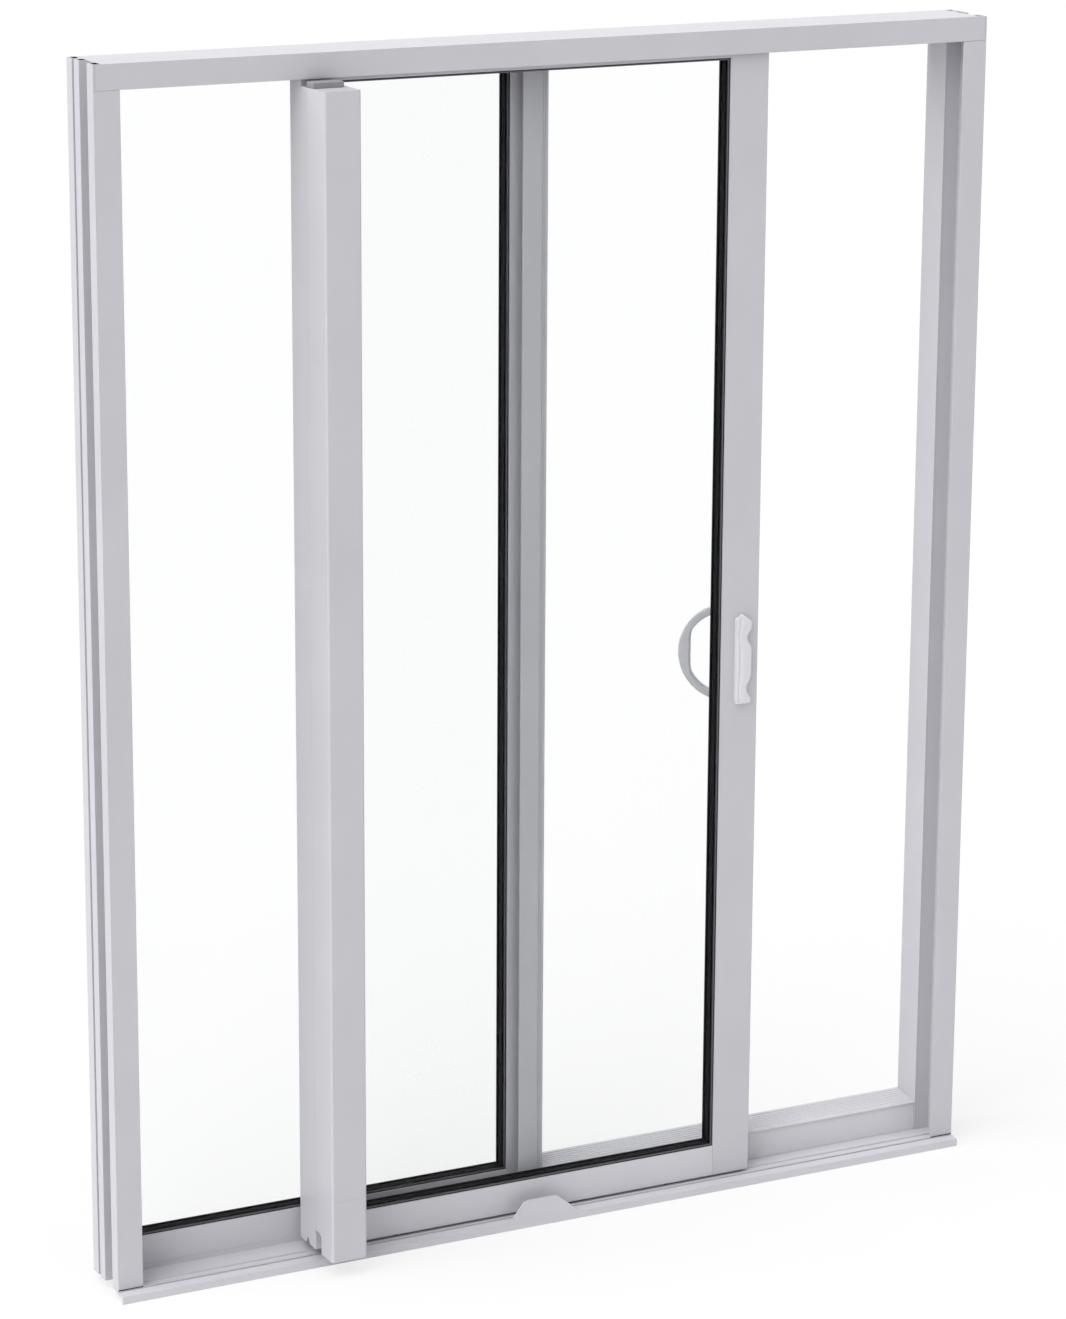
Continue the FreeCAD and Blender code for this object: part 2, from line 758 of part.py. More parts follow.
def make_glazing(panel, y0, opening):
    """The sealed glass unit of one panel and the gaskets that hold it."""
    x0, x1, z0, z1 = opening
    gap = d.seat_gap
    bite = d.glass_bite
    y1 = y0 + d.panel_depth
    outer_pane = y0 + glass_inset
    inner_pane = outer_pane + d.glass_unit - d.pane
    glass_outline = rectangle(x0 - bite, x1 + bite, z0 - bite, z1 + bite)
    for side, start in (("outer", outer_pane), ("inner", inner_pane)):
        pad(new_piece(f"{panel}_{side}_pane"), "Y", start, start + d.pane, glass_outline)
    add_ring(new_piece(f"{panel}_spacer"), outer_pane + d.pane + gap, inner_pane - gap, opening,
             d.spacer_tuck, d.spacer_show)
    lip_back = outer_pane - gap
    lip_front = lip_back - d.gasket_lip
    outer_gasket = new_piece(f"{panel}_outer_gasket")
    add_ring(outer_gasket, lip_front, lip_back, opening, d.gasket_tuck, d.gasket_width)
    add_ring(outer_gasket, y0 + d.gasket_recess, lip_front, opening, -gap, d.gasket_bead)
    lip_front = inner_pane + d.pane + gap
    lip_back = lip_front + d.gasket_lip
    inner_gasket = new_piece(f"{panel}_inner_gasket")
    add_ring(inner_gasket, lip_front, lip_back, opening, d.gasket_tuck, d.gasket_width)
    add_ring(inner_gasket, lip_back, y1 - d.gasket_recess, opening, -gap, d.gasket_bead)


make_glazing("fixed", fixed_front, (fixed_left_edge, meeting_edge, d.rail_top, opening_top))
make_glazing("sliding", sliding_front, (interlock_edge, lock_edge, d.rail_top, opening_top))


# Rollers: grooved wheels on the track rib, each in a carriage inside the bottom rail
def make_roller(side, x):
    """One carriage with its axle, and the wheel on it."""
    y = front + d.rib_setback
    half = d.wheel_width / 2
    groove_radius = d.wheel_radius - d.wheel_groove
    axle_height = rib_top + d.seat_gap + groove_radius
    wheel_room = d.wheel_radius + d.seat_gap
    carriage = new_piece(f"{side}_roller_carriage")
    pad(carriage, "Y", sliding_inside_front + d.seat_gap, sliding_inside_back - d.seat_gap,
        rectangle(x - d.carriage_length / 2, x + d.carriage_length / 2,
                  rib_top + d.track_clearance, channel_top - d.seat_gap))
    cut(carriage, "Y", y - half - d.seat_gap, y + half + d.seat_gap,
        rectangle(x - wheel_room, x + wheel_room, axle_height - wheel_room, channel_top))
    axle_sketch = new_sketch(carriage, "Y", y + half + d.axle_run)
    circle(axle_sketch, x, axle_height, d.axle_radius)
    pad_sketch(carriage, axle_sketch, d.wheel_width + d.axle_run * 2)

    wheel = new_piece(f"{side}_roller_wheel")
    profile = new_sketch(wheel, "X", 0)
    bore = d.axle_radius + d.seat_gap
    flange = d.rib_width / 2 + d.seat_gap
    polygon(profile, [
        (-half, bore),
        (half, bore),
        (half, d.wheel_radius),
        (flange, d.wheel_radius),
        (flange, groove_radius),
        (-flange, groove_radius),
        (-flange, d.wheel_radius),
        (-half, d.wheel_radius),
    ])
    turned = wheel.newObject("PartDesign::Revolution", f"{side}_wheel_turned")
    turned.Profile = profile
    turned.ReferenceAxis = (profile, ["H_Axis"])
    turned.Angle = 360
    bind(wheel, "Placement.Base.x", x)
    bind(wheel, "Placement.Base.y", y)
    bind(wheel, "Placement.Base.z", axle_height)
    doc.recompute()


make_roller("left", interlock_edge + d.roller_inset)
make_roller("right", lock_edge - d.roller_inset)


def bevel_edges_at(body, y, size):
    """Bevel every edge that lies in a plane across Y."""
    names = []
    for number, edge in enumerate(body.Shape.Edges, start=1):
        if max(abs(edge.BoundBox.YMax - y.number), abs(edge.BoundBox.YMin - y.number)) < 0.01:
            names.append(f"Edge{number}")
    base = body.Tip
    feature = body.newObject("PartDesign::Chamfer", f"{body.Label}_bevel")
    feature.Base = (base, names)
    bind(feature, "Size", size)
    doc.recompute()


# The near handle: a raised plate with a sloping crest, and two scallops for the fingers in its free edge
plate = new_piece("pull_plate")
plate_right = sliding_right - d.plate_inset
plate_left = plate_right - d.plate_width
plate_low = d.handle_middle - d.plate_height / 2
plate_high = d.handle_middle + d.plate_height / 2
plate_back = sliding_front - d.seat_gap
plate_front = plate_back - d.plate_depth
plate_crest = (plate_left + d.plate_crest, plate_high)
plate_ends = [
    (plate_left, plate_low),
    (plate_right, plate_low),
    (plate_right, plate_high - d.plate_slope_drop),
    (plate_left, plate_high - d.plate_crest_drop),
]
pad(plate, "Y", plate_front, plate_back, [*plate_ends[:3], plate_crest, plate_ends[3]])
round_corners(plate, "Y", plate_ends, d.plate_round)
round_corners(plate, "Y", [plate_crest], d.plate_crest_round)
for offset in (-d.scallop_spread, d.scallop_spread):
    scallop = new_sketch(plate, "Y", plate_front)
    circle(scallop, plate_right + d.scallop_radius - d.scallop_bite, d.handle_middle + offset,
           d.scallop_radius)
    pocket_sketch(plate, scallop, d.plate_depth)
bevel_edges_at(plate, plate_front, d.plate_bevel)

# The far handle: a bow that leans out from the glass, with a flat grip inside its curve and its ends run into
# a base plate
base_right = sliding_right - d.bow_base_inset
base_left = base_right - d.bow_base_width
base_front = sliding_back + d.seat_gap
base_back = base_front + d.bow_base_depth
base_reach = d.bow_radius + d.bow_base_margin
base_corners = rectangle(base_left, base_right, d.handle_middle - base_reach, d.handle_middle + base_reach)
bow_base = new_body("bow_base")
pad(bow_base, "Y", base_front, base_back, base_corners)
round_corners(bow_base, "Y", base_corners, d.bow_base_round)

bow = new_body("bow_ring")
bow_side = d.bow_depth / 2
bow_hole = d.bow_radius - d.bow_thickness
grip_face = d.bow_radius - d.bow_grip
ring = new_sketch(bow, "Y", bow_side)
circle(ring, 0, 0, d.bow_radius)
circle(ring, 0, 0, bow_hole)
pad_sketch(bow, ring, d.bow_depth)
pad(bow, "Y", -bow_side, bow_side, rectangle(-bow_hole, -grip_face, -d.bow_grip_half, d.bow_grip_half))
grip_end = (bow_hole.number ** 2 - grip_face.number ** 2) ** 0.5
round_corners(bow, "Y", [(-grip_face, -grip_end), (-grip_face, grip_end)], d.bow_grip_round)
cut(bow, "Y", -bow_side, bow_side, rectangle(d.bow_run_on, base_reach, -base_reach, base_reach))
rims = []
for number, edge in enumerate(bow.Shape.Edges, start=1):
    if edge.BoundBox.YLength < 0.01 and edge.BoundBox.XMin < d.bow_run_on.number - 0.01:
        rims.append(f"Edge{number}")
round_edges(bow, rims, d.bow_round)
bow.Placement.Rotation = FreeCAD.Rotation(FreeCAD.Vector(0, 0, 1), -DIMENSIONS["bow_lean"])
bind(bow, "Placement.Base.x", sliding_right - d.bow_inset)
bind(bow, "Placement.Base.y", base_front + d.bow_stand)
bind(bow, "Placement.Base.z", d.handle_middle)

behind = doc.addObject("Part::Box", "behind_bow_base")
bind(behind, "Length", base_reach * 2)
bind(behind, "Width", base_reach)
bind(behind, "Height", base_reach * 2)
bind(behind, "Placement.Base.x", base_left - base_reach)
bind(behind, "Placement.Base.y", base_front - base_reach)
bind(behind, "Placement.Base.z", d.handle_middle - base_reach)
trimmed_bow = doc.addObject("Part::Cut", "trimmed_bow")
trimmed_bow.Base = bow
trimmed_bow.Tool = behind
bow_pull = doc.addObject("Part::Fuse", "bow_pull")
bow_pull.Base = bow_base
bow_pull.Tool = trimmed_bow
pieces.append(bow_pull)
doc.recompute()

# Every object has to be sound before anything is written
for item in doc.Objects:
    if any(word in item.State for word in ("Invalid", "Error")):
        raise RuntimeError(f"{item.Label} failed: {item.State}")
for piece in pieces:
    if piece.Shape.isNull() or not piece.Shape.isValid():
        raise RuntimeError(f"{piece.Label} has no sound shape")

os.makedirs("parts", exist_ok=True)
for piece in pieces:
    piece.Shape.exportStep(f"parts/{piece.Label}.step")
    box = piece.Shape.BoundBox
    print(f"{piece.Label}: {len(piece.Shape.Solids)} solid, {piece.Shape.Volume / 1000:.1f} cm3, "
          f"x {box.XMin:.1f} to {box.XMax:.1f}, y {box.YMin:.1f} to {box.YMax:.1f}, "
          f"z {box.ZMin:.1f} to {box.ZMax:.1f}")
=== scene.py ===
# %% [markdown]
# A sliding patio door in a studio
#
# The door comes to this lesson as finished solids: two jambs, a head, a sill, a fixed glazed panel and one
# that rolls past it. What is left is the looks. We could repaint everything and stop there, but rubber,
# cast handles and glass need shapes and finishes of their own, so each gets a step below.

# %% Load the solids
import math

import bpy
import numpy as np
from mathutils import Matrix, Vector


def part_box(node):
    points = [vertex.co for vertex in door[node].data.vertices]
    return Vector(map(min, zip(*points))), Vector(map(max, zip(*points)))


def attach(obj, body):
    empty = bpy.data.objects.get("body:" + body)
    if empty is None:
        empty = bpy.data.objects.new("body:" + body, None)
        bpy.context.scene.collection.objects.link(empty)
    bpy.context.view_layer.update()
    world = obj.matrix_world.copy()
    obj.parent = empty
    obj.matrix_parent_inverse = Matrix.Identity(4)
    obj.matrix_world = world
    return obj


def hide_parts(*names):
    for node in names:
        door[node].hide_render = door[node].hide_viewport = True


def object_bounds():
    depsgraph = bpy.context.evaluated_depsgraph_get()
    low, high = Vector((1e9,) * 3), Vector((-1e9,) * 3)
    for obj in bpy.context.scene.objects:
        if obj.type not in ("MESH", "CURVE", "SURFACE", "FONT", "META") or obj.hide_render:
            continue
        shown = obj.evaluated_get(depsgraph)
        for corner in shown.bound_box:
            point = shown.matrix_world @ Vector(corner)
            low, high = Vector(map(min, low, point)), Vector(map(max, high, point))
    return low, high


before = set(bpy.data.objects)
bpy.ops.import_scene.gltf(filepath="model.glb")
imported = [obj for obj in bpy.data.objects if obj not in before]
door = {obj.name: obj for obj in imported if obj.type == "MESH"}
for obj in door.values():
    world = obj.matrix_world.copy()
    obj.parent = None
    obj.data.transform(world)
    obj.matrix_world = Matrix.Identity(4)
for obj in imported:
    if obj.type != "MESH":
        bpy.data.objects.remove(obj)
solid_low, solid_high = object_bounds()
print("solids:", len(door), "width, depth, height in m:", [round(v, 3) for v in solid_high - solid_low])

# %% [markdown]
# The camera
#
# The picture we follow looks down on the weather side from the left, through a long lens, so the uprights
# lean only a little. The place and turn of the lens could be guessed by eye, but they were fitted to the
# corners of the frame instead. Blender wants a lens in millimetres, and the long side of a picture spans
# the sensor, so the focal length in pixels is scaled by sensor over picture height.

# %% Place the camera
PHOTO_HEIGHT = 1319
FOCAL_PIXELS = 4277.55
SENSOR_WIDTH = 36.0
CAMERA_PLACE = (-3.1972, -6.2270, 2.8423)
CAMERA_YAW = 0.47184
CAMERA_PITCH = 0.26011
CAMERA_ROLL = 0.0054


def camera_turn(yaw, pitch, roll):
    """Columns are the picture's right, its top and the way back to the viewer. The level right and its
    cross product with the view are turned by the roll."""
    ahead = np.array([math.sin(yaw) * math.cos(pitch), math.cos(yaw) * math.cos(pitch), -math.sin(pitch)])
    level = np.array([math.cos(yaw), -math.sin(yaw), 0.0])
    upright = np.cross(level, ahead)
    side = math.cos(roll) * level + math.sin(roll) * upright
    top = math.cos(roll) * upright - math.sin(roll) * level
    return np.column_stack([side, top, -ahead])


lens = bpy.data.cameras.new("studio_camera")
lens.sensor_width = SENSOR_WIDTH
lens.lens = FOCAL_PIXELS * SENSOR_WIDTH / PHOTO_HEIGHT
camera = bpy.data.objects.new("studio_camera", lens)
bpy.context.scene.collection.objects.link(camera)
turn = Matrix(camera_turn(CAMERA_YAW, CAMERA_PITCH, CAMERA_ROLL).tolist())
camera.matrix_world = Matrix.Translation(CAMERA_PLACE) @ turn.to_4x4()
bpy.context.scene.camera = camera
print("lens:", round(lens.lens, 2), "mm")

# %% [markdown]
# Finishes made of nodes
#
# Every finish starts as one Principled shader. A value that is the same all over is set on the shader
# itself, and only what varies over the surface gets nodes, which read Object coordinates so that the
# pattern keeps its real size in metres. These short helpers keep the node code readable. A Mix node has
# several sockets of one name, so its colour sockets go by number.

# %% Finishes and tones
NOISE_LOW = 0.3
NOISE_HIGH = 0.7
MIX_FIRST_COLOUR = 6
MIX_SECOND_COLOUR = 7
MIX_COLOUR_RESULT = 2
EVEN = (1.0, 1.0, 1.0)


def new_finish(name):
    """A material with its node tree and Principled shader."""
    material = bpy.data.materials.new(name)
    material.use_nodes = True
    tree = material.node_tree
    return material, tree, tree.nodes["Principled BSDF"]


def noise(tree, scale, detail, stretch=EVEN):
    """Noise over Object coordinates, stretched by a scale per axis. Returns its value socket."""
    place = tree.nodes.new("ShaderNodeTexCoord")
    mapping = tree.nodes.new("ShaderNodeMapping")
    mapping.inputs["Scale"].default_value = stretch
    texture = tree.nodes.new("ShaderNodeTexNoise")
    texture.inputs["Scale"].default_value = scale
    texture.inputs["Detail"].default_value = detail
    tree.links.new(place.outputs["Object"], mapping.inputs["Vector"])
    tree.links.new(mapping.outputs["Vector"], texture.inputs["Vector"])
    return texture.outputs[0]


def spread(tree, value, low, high):
    """The middle of a noise, where most of its values lie, mapped to a range. Returns its socket."""
    node = tree.nodes.new("ShaderNodeMapRange")
    node.inputs["From Min"].default_value = NOISE_LOW
    node.inputs["From Max"].default_value = NOISE_HIGH
    node.inputs["To Min"].default_value = low
    node.inputs["To Max"].default_value = high
    tree.links.new(value, node.inputs["Value"])
    return node.outputs["Result"]


def two_tones(tree, value, tones):
    """A colour between a dark and a light tone, by a value from 0 to 1. Returns its socket."""
    dark, light = tones
    node = tree.nodes.new("ShaderNodeMix")
    node.data_type = "RGBA"
    node.inputs[MIX_FIRST_COLOUR].default_value = (*dark, 1.0)
    node.inputs[MIX_SECOND_COLOUR].default_value = (*light, 1.0)
    tree.links.new(value, node.inputs["Factor"])
    return node.outputs[MIX_COLOUR_RESULT]


print("tones change where a noise goes from", NOISE_LOW, "to", NOISE_HIGH)

# %% [markdown]
# Relief and soft edges
#
# The grain of a real coat is too fine to model: as geometry it would need millions of faces. A bump node
# tilts the light as that grain would, by a height in metres. The edges of the solids are sharp, and a bevel
# node rounds the normals there by a small radius.

# %% Relief and edges
BEVEL_SAMPLES = 4


def bump(tree, height, depth, strength, normal=None):
    """A bump of a real depth in metres, on top of another normal if given. Returns its socket."""
    node = tree.nodes.new("ShaderNodeBump")
    node.inputs["Distance"].default_value = depth
    node.inputs["Strength"].default_value = strength
    tree.links.new(height, node.inputs["Height"])
    if normal is not None:
        tree.links.new(normal, node.inputs["Normal"])
    return node.outputs["Normal"]


def eased_edges(tree, radius):
    """Normals that round every sharp edge by a small radius. Returns the socket."""
    node = tree.nodes.new("ShaderNodeBevel")
    node.samples = BEVEL_SAMPLES
    node.inputs["Radius"].default_value = radius
    return node.outputs["Normal"]


print("edges rounded with", BEVEL_SAMPLES, "samples")

# %% [markdown]
# Powder coat on extruded metal
#
# The frame is extruded aluminium with a pale grey powder coat. Up close the coat has a fine orange peel,
# and under it the die leaves faint lines along the length of each bar. A flat grey would look like plastic,
# so two noises make the bump: one even and fine, one stretched along the bar. The corners of a real bar are
# eased by the coat, which catches a thin light line, and the bevel normals stand for that.

# %% The coat
MM = 0.001
COAT_GLOSS = 0.27
CLOUD_SCALE = 6.0
CLOUD_DETAIL = 3.0
SHEEN_SCALE = 35.0
SHEEN_DETAIL = 3.0
SHEEN_RANGE = (0.36, 0.39)
PEEL_SCALE = 420.0
PEEL_DETAIL = 2.0
PEEL_DEPTH = 0.06 * MM
PEEL_STRENGTH = 0.5
DIE_LINE_SCALE = 260.0
DIE_LINE_DETAIL = 1.0
DIE_LINE_DEPTH = 0.03 * MM
DIE_LINE_STRENGTH = 0.35
EASED_EDGE = 0.9 * MM


def powder_coat(name, tones, along):
    """Satin powder coat: two close tones in slow clouds, orange peel, and die lines along the bar."""
    material, tree, shader = new_finish(name)
    clouds = spread(tree, noise(tree, CLOUD_SCALE, CLOUD_DETAIL), 0.0, 1.0)
    tree.links.new(two_tones(tree, clouds, tones), shader.inputs["Base Color"])
    sheen = spread(tree, noise(tree, SHEEN_SCALE, SHEEN_DETAIL), *SHEEN_RANGE)
    tree.links.new(sheen, shader.inputs["Roughness"])
    shader.inputs["Specular IOR Level"].default_value = COAT_GLOSS
    eased = eased_edges(tree, EASED_EDGE)
    die_lines = noise(tree, DIE_LINE_SCALE, DIE_LINE_DETAIL, along)
    lined = bump(tree, die_lines, DIE_LINE_DEPTH, DIE_LINE_STRENGTH, eased)
    peel = noise(tree, PEEL_SCALE, PEEL_DETAIL)
    peeled = bump(tree, peel, PEEL_DEPTH, PEEL_STRENGTH, lined)
    tree.links.new(peeled, shader.inputs["Normal"])
    return material


print("coat ready, orange peel of", round(PEEL_DEPTH / MM, 2), "mm")

# %% [markdown]
# Which bar gets which coat
#
# Die lines run along a bar, so bars that stand and bars that lie need different stretches of the same
# noise. The bars near the ground and the tread get a shade lighter coat, which is painted light: it stands
# in for light from the floor and from above. One coat for all would be less work, but in the same tone
# the low bars look too dark.

# %% Coat the bars
COAT_TONES = (0.512, 0.506, 0.541), (0.534, 0.528, 0.564)
# The low and tread tones are painted light: lighter than the coat, for light on the low bars and the tread.
LOW_PAINTED_LIGHT_TONES = (0.559, 0.552, 0.590), (0.583, 0.577, 0.616)
TREAD_PAINTED_LIGHT_TONES = (0.618, 0.611, 0.645), (0.660, 0.653, 0.688)
ALONG_UPRIGHT = (1.0, 1.0, 0.004)
ALONG_LEVEL = (0.004, 1.0, 1.0)
UPRIGHTS = ["left_jamb", "right_jamb", "jamb_filler", "fixed_left_stile", "fixed_meeting_stile",
            "interlock_stile", "interlock_tube", "interlock_foot", "lock_stile"]
LEVEL_BARS = ["head", "fixed_top_rail", "sliding_top_rail"]
LOW_BARS = ["sill", "interlock_catch", "fixed_bottom_rail", "sliding_bottom_rail"]
TREAD = ["threshold_cover"]


def dress(names, material):
    """Give solids one finish."""
    for name in names:
        mesh = door[name].data
        mesh.materials.clear()
        mesh.materials.append(material)
    print(material.name, "on", len(names), "solids")


upright_coat = powder_coat("coat_on_uprights", COAT_TONES, ALONG_UPRIGHT)
dress(UPRIGHTS, upright_coat)
dress(LEVEL_BARS, powder_coat("coat_on_level_bars", COAT_TONES, ALONG_LEVEL))
dress(LOW_BARS, powder_coat("coat_on_low_bars_painted_light", LOW_PAINTED_LIGHT_TONES, ALONG_LEVEL))
dress(TREAD, powder_coat("coat_on_tread_painted_light", TREAD_PAINTED_LIGHT_TONES, ALONG_LEVEL))

# %% [markdown]
# Rays of several kinds
#
# Cycles follows rays from the camera, off a mirror, through glass and towards a lamp, and the Light Path
# node tells them apart. The glass and the white studio both have to answer the eye in one way and the light
# in another. A face can't have two materials, so two shaders are mixed by the kind of ray.

# %% Tell rays apart
LAMP_RAYS = ["Is Shadow Ray", "Is Diffuse Ray"]
SEEN_RAYS = ["Is Camera Ray", "Is Glossy Ray", "Is Transmission Ray"]


def either_ray(tree, names):
    """A socket that is 1 where a ray is of one of the named kinds, and 0 elsewhere."""
    path = tree.nodes.new("ShaderNodeLightPath")
    total = path.outputs[names[0]]
    for name in names[1:]:
        node = tree.nodes.new("ShaderNodeMath")
        node.operation = "MAXIMUM"
        tree.links.new(total, node.inputs[0])
        tree.links.new(path.outputs[name], node.inputs[1])
        total = node.outputs[0]
    return total


def mixed(tree, share, first, second):
    """A mix of two shader sockets, by a socket that is 0 for the first and 1 for the second."""
    node = tree.nodes.new("ShaderNodeMixShader")
    tree.links.new(share, node.inputs["Fac"])
    tree.links.new(first, node.inputs[1])
    tree.links.new(second, node.inputs[2])
    return node.outputs["Shader"]


print("kinds of ray:", len(LAMP_RAYS), "for lamps and", len(SEEN_RAYS), "for what is seen")

# %% [markdown]
# Clear glass
#
# Each panel holds two panes. Plain glass in Cycles stops lamps, and the room behind it goes dark, so lamp
# rays and diffuse rays pass straight through a transparent shader, and only what the eye sees is bent and
# mirrored. A float pane isn't perfectly flat: a slow, very shallow wave keeps its mirror image alive.

# %% Make the panes
GLASS_TINT = (0.985, 0.987, 0.987, 1.0)
GLASS_SHADE = (0.94, 0.945, 0.945, 1.0)
GLASS_IOR = 1.05
WAVE_SCALE = 2.2
WAVE_DETAIL = 0.0
WAVE_DEPTH = 0.4 * MM
WAVE_STRENGTH = 0.2
PANES = ["fixed_outer_pane", "fixed_inner_pane", "sliding_outer_pane", "sliding_inner_pane"]


def pane_glass(name):
    """Thin clear glass that lets lamps through."""
    material, tree, shader = new_finish(name)
    shader.inputs["Base Color"].default_value = GLASS_TINT
    shader.inputs["Roughness"].default_value = 0.0
    shader.inputs["IOR"].default_value = GLASS_IOR
    shader.inputs["Transmission Weight"].default_value = 1.0
    wave = bump(tree, noise(tree, WAVE_SCALE, WAVE_DETAIL), WAVE_DEPTH, WAVE_STRENGTH)
    tree.links.new(wave, shader.inputs["Normal"])
    through = tree.nodes.new("ShaderNodeBsdfTransparent")
    through.inputs["Color"].default_value = GLASS_SHADE
    pane = mixed(tree, either_ray(tree, LAMP_RAYS), shader.outputs["BSDF"], through.outputs["BSDF"])
    tree.links.new(pane, tree.nodes["Material Output"].inputs["Surface"])
    return material


dress(PANES, pane_glass("clear_float_glass"))

# %% [markdown]
# Small metal and plastic
#
# The spacer between the panes is dark foam with a fine grain, the roller carriages are zinc-plated steel
# with a patchy sheen, and the wheels are dark nylon. They show little, through gaps and from below, so a
# tone and a grain each are enough.

# %% Finish the small parts
FOAM_TONES = (0.004, 0.004, 0.005), (0.010, 0.011, 0.012)
ZINC_TONES = (0.44, 0.44, 0.46), (0.60, 0.60, 0.61)
NYLON_TONES = (0.05, 0.05, 0.055), (0.075, 0.075, 0.08)
GRAIN_DETAIL = 3.0
GRAIN_DEPTH = 0.1 * MM
GRAIN_STRENGTH = 0.3


def grained(name, tones, scale, rough, metal=0.0, gloss=0.5):
    """Two tones in a grain of one scale, with a roughness that follows the grain."""
    material, tree, shader = new_finish(name)
    grain = noise(tree, scale, GRAIN_DETAIL)
    tree.links.new(two_tones(tree, spread(tree, grain, 0.0, 1.0), tones), shader.inputs["Base Color"])
    tree.links.new(spread(tree, grain, *rough), shader.inputs["Roughness"])
    tree.links.new(bump(tree, grain, GRAIN_DEPTH, GRAIN_STRENGTH), shader.inputs["Normal"])
    shader.inputs["Metallic"].default_value = metal
    shader.inputs["Specular IOR Level"].default_value = gloss
    return material


spacer_foam = grained("spacer_foam", FOAM_TONES, scale=900.0, rough=(0.7, 0.9), gloss=0.1)
zinc = grained("zinc_plate", ZINC_TONES, scale=120.0, rough=(0.28, 0.5), metal=1.0)
nylon = grained("wheel_nylon", NYLON_TONES, scale=600.0, rough=(0.4, 0.6))
dress(["fixed_spacer", "sliding_spacer"], spacer_foam)
dress(["left_roller_carriage", "right_roller_carriage"], zinc)
dress(["left_roller_wheel", "right_roller_wheel"], nylon)

# %% [markdown]
# Surfaces from arrays
#
# The pieces that follow are surfaces worked out as whole numpy arrays: rows of points, each row one ring
# or line of the surface. They could be modelled by hand, but a formula is easy to change. Neighbouring rows
# make quads, and a ring may close on itself. A closed surface has to face outwards: its signed volume says
# whether it does, and if it doesn't, every face is turned over.


# %% Faces of a grid
def quads(rows, columns, close_rows=False, close_columns=True):
    """Corner numbers of the quads between neighbouring rows and columns of a grid of points."""
    i = np.arange(rows if close_rows else rows - 1)[:, None]
    j = np.arange(columns if close_columns else columns - 1)[None, :]
    next_i = (i + 1) % rows
    next_j = (j + 1) % columns
    numbers = [i * columns + j, next_i * columns + j, next_i * columns + next_j, i * columns + next_j]
    return np.stack([np.broadcast_to(n, (i.size, j.size)).ravel() for n in numbers], axis=1)


def signed_volume(points, faces):
    """Sum over faces, cut into fans of triangles, of a sixth of the triple product of their corners."""
    total = 0.0
    for size in {len(f) for f in faces}:
        ring = points[np.array([f for f in faces if len(f) == size])]
        for k in range(1, size - 1):
            total += np.einsum("ij,ij->i", ring[:, 0], np.cross(ring[:, k], ring[:, k + 1])).sum() / 6
    return total


def facing_out(points, faces):
    """The faces of a closed surface, all turned over if its signed volume is negative."""
    if signed_volume(points, faces) < 0:
        return [face[::-1] for face in faces]
    return faces


print("faces of a grid of 3 by 4 points:", len(quads(3, 4, close_columns=False)))

# %% [markdown]
# From faces to a piece
#
# A piece is a mesh with its finishes, and it has to ride on the body that carries it, or it would stay
# behind when the panel slides. Each piece could set this up by itself, but one function keeps them alike.
# It also smooths the surface, except where two faces meet more sharply than the crease angle.

# %% Pieces
CREASE = math.radians(35)


def corners(node):
    """Lowest and highest corner of a solid, as arrays."""
    low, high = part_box(node)
    return np.array(low), np.array(high)


def new_piece(name, points, faces, finishes, body):
    """A mesh object from points and faces, facing outwards, smooth up to the crease, riding a body."""
    points = np.asarray(points, float).reshape(-1, 3)
    faces = facing_out(points, [list(map(int, f)) for f in faces])
    mesh = bpy.data.meshes.new(name)
    mesh.from_pydata(points.tolist(), [], faces)
    mesh.polygons.foreach_set("use_smooth", np.ones(len(faces), bool))
    mesh.set_sharp_from_angle(angle=CREASE)
    for finish in finishes:
        mesh.materials.append(finish)
    piece = bpy.data.objects.new(name, mesh)
    bpy.context.scene.collection.objects.link(piece)
    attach(piece, body)
    print(name, "points", len(points), "faces", len(faces))
    return piece


print("pieces ready, crease of", round(math.degrees(CREASE)), "degrees")

# %% [markdown]
# Glazing gaskets
#
# Black rubber holds the panes. Beside the metal it has a dark groove, then a small round bead that catches
# the light, and a lip that falls to the glass. Stacked boxes would show steps, so the gasket starts as one
# cross section, drawn as points from the bead round to the groove.

# %% The gasket's section
GASKET_TUCK = 6 * MM
GASKET_EDGE = 0.3 * MM
GASKET_REACH = 4 * MM
BEAD_RADIUS = 1.4 * MM
BEAD_FROM_REACH = 0.1 * MM
BEAD_MIDDLE = GASKET_REACH - BEAD_RADIUS - BEAD_FROM_REACH
BEAD_POINTS = 11
LIP_SHARE = 0.25
FOOT_SHARE = 0.3
GROOVE_EDGE_SHARE = 0.5
GROOVE_SHARE = 0.45


def gasket_section(depth):
    """Closed section as (distance in from the opening's edge, height above the glass). The bead is half a
    circle that ends at the full depth, with a low groove before it, and the foot lies on the glass. Lip,
    foot and groove stand at shares of the depth."""
    arc = np.linspace(np.pi, 0.0, BEAD_POINTS)
    bead_in = BEAD_MIDDLE + BEAD_RADIUS * np.cos(arc)
    bead_up = depth - BEAD_RADIUS * (1 - np.sin(arc))
    lip = [[GASKET_REACH, LIP_SHARE * depth], [GASKET_REACH, 0.0]]
    foot = [[-GASKET_TUCK, 0.0], [-GASKET_TUCK, FOOT_SHARE * depth], [GASKET_EDGE, FOOT_SHARE * depth]]
    groove = [[GASKET_EDGE, GROOVE_EDGE_SHARE * depth], [BEAD_MIDDLE - BEAD_RADIUS, GROOVE_SHARE * depth]]
    return np.vstack([np.column_stack([bead_in, bead_up]), lip, foot, groove])


print("bead", round(2 * BEAD_RADIUS / MM, 1), "mm across")
